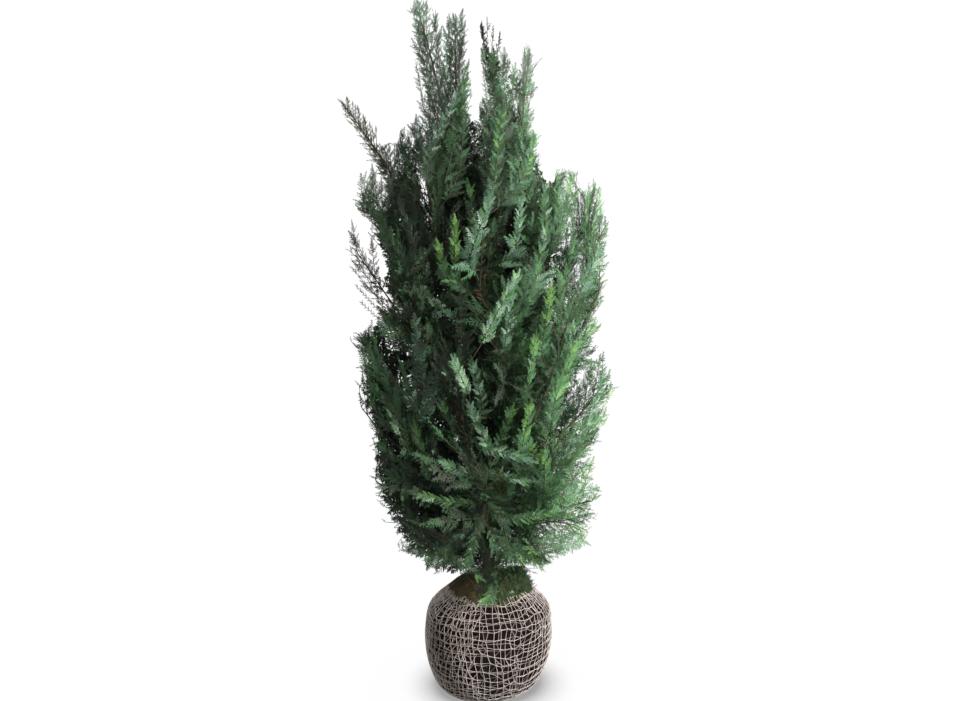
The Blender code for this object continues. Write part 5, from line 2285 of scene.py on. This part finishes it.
@dataclass
class RootBall:
    """The ball of soil, the moss on its mound and the netting round it."""

    sides: int = 96
    rings: int = 44
    shrink: float = 0.982
    crown_rings: tuple = ((0.020, SOIL_TOP), (0.004, SOIL_TOP))
    shoulder: tuple = (0.007, 0.258, 0.042)
    soil_reliefs: tuple = (Relief("clods", 0.020, 3, 0.0020), Relief("crumbs", 0.004, 1, 0.0010))
    mound_sides: int = 72
    mound_rings: tuple = (
        (0.134, 0.286), (0.128, 0.300), (0.112, 0.318), (0.092, 0.331),
        (0.070, 0.341), (0.046, 0.347), (0.026, 0.350), (0.006, 0.351),
    )
    mound_reliefs: tuple = (Relief("moss_lumps", 0.030, 2, 0.0130), Relief("moss_tufts", 0.005, 2, 0.0050))
    lump_place: tuple[float, float] = (0.096, 0.040)
    lump_spread: float = 0.026
    lump_height: float = 0.029
    lump_reach: float = 0.034
    tufts: tuple = (MossTufts(Tint.OLIVE, 160, 3), MossTufts(Tint.DEEP, 340, 4), MossTufts(Tint.MID, 130, 5))
    net_span: tuple[float, float] = (0.02, 0.89)
    net_lowest: float = 0.002
    side_steps: int = 160
    smooth_steps: int = 80
    even_steps: int = 400

    def build(self) -> None:
        """Makes the soil, the mound and the netting's three layers: the worn wrap, the threads and a fold."""
        self._soil()
        self._mound()
        for layer in NET_LAYERS:
            self._net_layer(layer)

    def side(self, steps: int, first: float = 0.0, last: float = 1.0) -> list[tuple[float, float]]:
        """The ball's side as a smooth line, with its shoulder bulging over the netting's tightest ring.

        Args:
            steps: How many points it is read at.
            first: Where it starts, as a share of its length from the underside.
            last: Where it ends.

        Returns:
            Pairs of radius and height.
        """
        profile = tuple((radius, 0.0, height) for radius, height in BALL_PROFILE)
        line = resampled(smooth_way(profile, self.smooth_steps), self.even_steps)
        picked = [along(line, first + (last - first) * i / (steps - 1))[0] for i in range(steps)]
        out, height, spread = self.shoulder
        bulges = [out * math.exp(-(((p.z - height) / spread) ** 2)) for p in picked]
        return [(p.x * self.shrink + bulge, p.z) for p, bulge in zip(picked, bulges)]

    @staticmethod
    def turned(rings: list[tuple[float, float]], sides: int, closed: bool) -> Object:
        """Extrudes a circle ring by ring.

        Args:
            rings: Pairs of radius and height, from the lowest up.
            sides: How many sides the circle has.
            closed: Whether it has a flat underside and a top that runs to a point.

        Returns:
            The turned shape.
        """
        radius, height = rings[0]
        made = start_rings(sides, radius, closed, Vector((0.0, 0.0, height)), Vector((0.0, 0.0, 1.0)))
        for (low_radius, low), (high_radius, high) in zip(rings, rings[1:]):
            bpy.ops.mesh.extrude_region_move(TRANSFORM_OT_translate={"value": (0, 0, high - low)})
            ratio = high_radius / low_radius
            bpy.ops.transform.resize(value=(ratio, ratio, 1.0), center_override=(0, 0, high))
        if closed:
            bpy.ops.mesh.merge(type="CENTER")
        end_rings()
        return made

    def _soil(self) -> None:
        """The ball of soil, with clods and crumbs in its surface."""
        made = self.turned([*self.side(self.rings), *self.crown_rings], self.sides, True)
        for vertex in made.data.vertices:
            vertex.co = slumped(*vertex.co)
        subdivide(made, 1)
        for relief in self.soil_reliefs:
            relief.press(made)
        for vertex in made.data.vertices:
            vertex.co.z = max(0.0, vertex.co.z)
        finish_piece(made, "soil_ball", SoilFinish().material(), "soil", "root_ball")

    def _mound(self) -> None:
        """The moss and litter on top of the ball, with one tall lump at the right rear."""
        made = self.turned(list(self.mound_rings), self.mound_sides, True)
        for vertex in made.data.vertices:
            x, y, z = vertex.co
            away = (x - self.lump_place[0]) ** 2 + (y - self.lump_place[1]) ** 2
            lump = math.exp(-away / (2 * self.lump_spread**2))
            vertex.co = (*slumped(x, y, z)[:2], z + self.lump_height * lump)
        subdivide(made, 2)
        for relief in self.mound_reliefs:
            relief.press(made)
        finish_piece(made, "moss_mound", MossFinish().material(), "foliage")
        ground = [vertex.co.copy() for vertex in made.data.vertices]
        for tufts in self.tufts:
            tufts.model(ground, self.lump_place, self.lump_reach)

    def _stood_off(self, lift: float) -> tuple[np.ndarray, float]:
        """The ball's side, read closely and moved off the soil.

        Args:
            lift: How far it is moved.

        Returns:
            Its radii and its heights, and its length.
        """
        path = np.array(self.side(self.side_steps))
        steps = np.gradient(path, axis=0)
        length = float(np.linalg.norm(np.diff(path, axis=0), axis=1).sum())
        normals = np.array([(up, -out) for out, up in steps]) / np.linalg.norm(steps, axis=1)[:, None]
        return (path + normals * lift).T, length

    def _net_layer(self, layer: NetLayer) -> None:
        """Makes one layer of netting.

        Args:
            layer: Its sizes and its yarn.
        """
        first, last = self.net_span
        rings = self.side(layer.rings, first, last)
        made = self.turned(rings, layer.ribs, False)
        levels = np.array([height for _, height in rings])
        columns, length = self._stood_off(layer.lift)
        shares = np.linspace(0.0, 1.0, self.side_steps)
        dice = random.Random(layer.seed)
        offset = Vector((dice.uniform(0, 9), dice.uniform(0, 9), 0.0))
        for vertex in made.data.vertices:
            ring = int(np.argmin(np.abs(levels - vertex.co.z)))
            turn, rise = layer.strayed(vertex.co, ring, offset)
            share = first + (last - first) * ring / (layer.rings - 1) + rise / length
            radius, height = (float(np.interp(share, shares, column)) for column in columns)
            x, y, z = slumped(radius * math.cos(turn), radius * math.sin(turn), height)
            vertex.co = (x, y, max(self.net_lowest, z))
        if layer.span:
            self._keep_span(made, layer.span)
        apply_modifier(
            made, "WIREFRAME", thickness=layer.yarn, use_boundary=True, use_even_offset=False, offset=0.0
        )
        finish_piece(made, layer.name, layer.finish.material(), "net_yarn", *layer.nodes)

    @staticmethod
    def _keep_span(obj: Object, span: tuple[float, float]) -> None:
        """Deletes the faces outside a span of bearings.

        Args:
            obj: The layer of netting.
            span: The first and the last bearing in degrees.
        """
        pick(obj)
        bpy.ops.object.mode_set(mode="EDIT")
        bpy.ops.mesh.select_mode(type="FACE")
        bpy.ops.mesh.select_all(action="DESELECT")
        bpy.ops.object.mode_set(mode="OBJECT")
        for face in obj.data.polygons:
            bearing = math.degrees(math.atan2(face.center.y, face.center.x)) % 360
            face.select = not span[0] < bearing < span[1]
        bpy.ops.object.mode_set(mode="EDIT")
        bpy.ops.mesh.delete(type="FACE")
        bpy.ops.object.mode_set(mode="OBJECT")


@dataclass(frozen=True)
class Lamp:
    """A square soft light that looks at the crown: its place, side, power in watts and colour."""

    name: str
    place: tuple[float, float, float]
    side: float
    power: float
    colour: Colour = (1.0, 1.0, 1.0)
    aim: ClassVar[tuple] = (0.0, 0.0, 1.0)

    def hang(self, unlit: bpy.types.Collection) -> None:
        """Hangs the light.

        Args:
            unlit: What it doesn't light.
        """
        deselect_all()
        turn = (Vector(self.aim) - Vector(self.place)).to_track_quat("-Z", "Y").to_euler()
        bpy.ops.object.light_add(type="AREA", location=self.place, rotation=turn)
        light = bpy.context.object
        light.name = self.name
        light.data.size = self.side
        light.data.energy = self.power
        light.data.color = self.colour
        light.light_linking.receiver_collection = unlit


@dataclass
class Studio:
    """The camera at the photograph's angle, the pale floor and the soft light."""

    camera_pitch: float = 9.0
    focal_pixels: float = 996.0
    frame_width: float = 970.0
    sensor: float = 36.0
    floor_side: float = 40.0
    sky: tuple = ((0.98, 0.99, 1.0, 1.0), 0.45)
    backdrop: tuple = ((1.0, 1.0, 1.0, 1.0), 1.05)
    floor_power: float = 6.2
    floor_softness: float = 38.0
    floor_light_height: float = 4.0
    lamps: tuple = (
        Lamp("key_light", (3.1, -2.5, 2.6), 1.6, 394.0, (1.0, 0.99, 0.975)),
        Lamp("back_light", (-1.6, 3.2, 3.0), 1.8, 110.0),
    )

    def build(self) -> None:
        """Sets up the camera, the floor and the light."""
        self.unlit = bpy.data.collections.new("not_lit_by_lamps")
        self._camera()
        self._floor()
        self._floor_light()
        for lamp in self.lamps:
            lamp.hang(self.unlit)
        self._world()
        bpy.context.scene.view_settings.view_transform = "Standard"

    def _world(self) -> None:
        """Lights the plant from all round by a soft sky, in front of a backdrop that the camera sees."""
        world = bpy.data.worlds.new("studio")
        world.use_nodes = True
        tree = world.node_tree
        mix = tree.nodes.new("ShaderNodeMixShader")
        path = tree.nodes.new("ShaderNodeLightPath")
        tree.links.new(path.outputs["Is Camera Ray"], mix.inputs["Fac"])
        nodes = (tree.nodes["Background"], tree.nodes.new("ShaderNodeBackground"))
        for place, (node, (colour, strength)) in enumerate(zip(nodes, (self.sky, self.backdrop)), 1):
            node.inputs["Color"].default_value = colour
            node.inputs["Strength"].default_value = strength
            tree.links.new(node.outputs["Background"], mix.inputs[place])
        tree.links.new(mix.outputs["Shader"], tree.nodes["World Output"].inputs["Surface"])
        bpy.context.scene.world = world

    def _camera(self) -> None:
        """Sets the camera."""
        deselect_all()
        pitch = math.radians(90.0 - self.camera_pitch)
        bpy.ops.object.camera_add(location=CAMERA_PLACE, rotation=(pitch, 0.0, 0.0))
        camera = bpy.context.object
        camera.data.sensor_width = self.sensor
        camera.data.lens = self.focal_pixels * self.sensor / self.frame_width
        bpy.context.scene.camera = camera

    def _floor(self) -> None:
        """Lays the floor, which only the floor's own light falls on."""
        deselect_all()
        bpy.ops.mesh.primitive_plane_add(size=self.floor_side, location=(0.0, 0.0, 0.0))
        floor = bpy.context.object
        floor.name = "floor"
        floor.data.materials.append(FloorFinish().material())
        floor.visible_diffuse = False
        floor.visible_glossy = False
        self.unlit.objects.link(floor)
        self.unlit.collection_objects[0].light_linking.link_state = "EXCLUDE"

    def _floor_light(self) -> None:
        """Hangs a wide soft light over the floor alone, so that the ball stands in its own soft shade."""
        deselect_all()
        place = (0.0, 0.0, self.floor_light_height)
        bpy.ops.object.light_add(type="SUN", location=place, rotation=(0.0, 0.0, 0.0))
        light = bpy.context.object
        light.name = "floor_light"
        light.data.energy = self.floor_power
        light.data.angle = math.radians(self.floor_softness)
        lit = bpy.data.collections.new("lit_floor")
        lit.objects.link(bpy.data.objects["floor"])
        light.light_linking.receiver_collection = lit
        shading = bpy.data.collections.new("shades_the_floor")
        shading.objects.link(bpy.data.objects["soil_ball"])
        light.light_linking.blocker_collection = shading


def main() -> None:
    """Builds the plant and the studio."""
    logging.basicConfig(level=logging.INFO, format="%(message)s")
    RootBall().build()
    Crown().build()
    Studio().build()


if __name__ == "__main__":
    main()
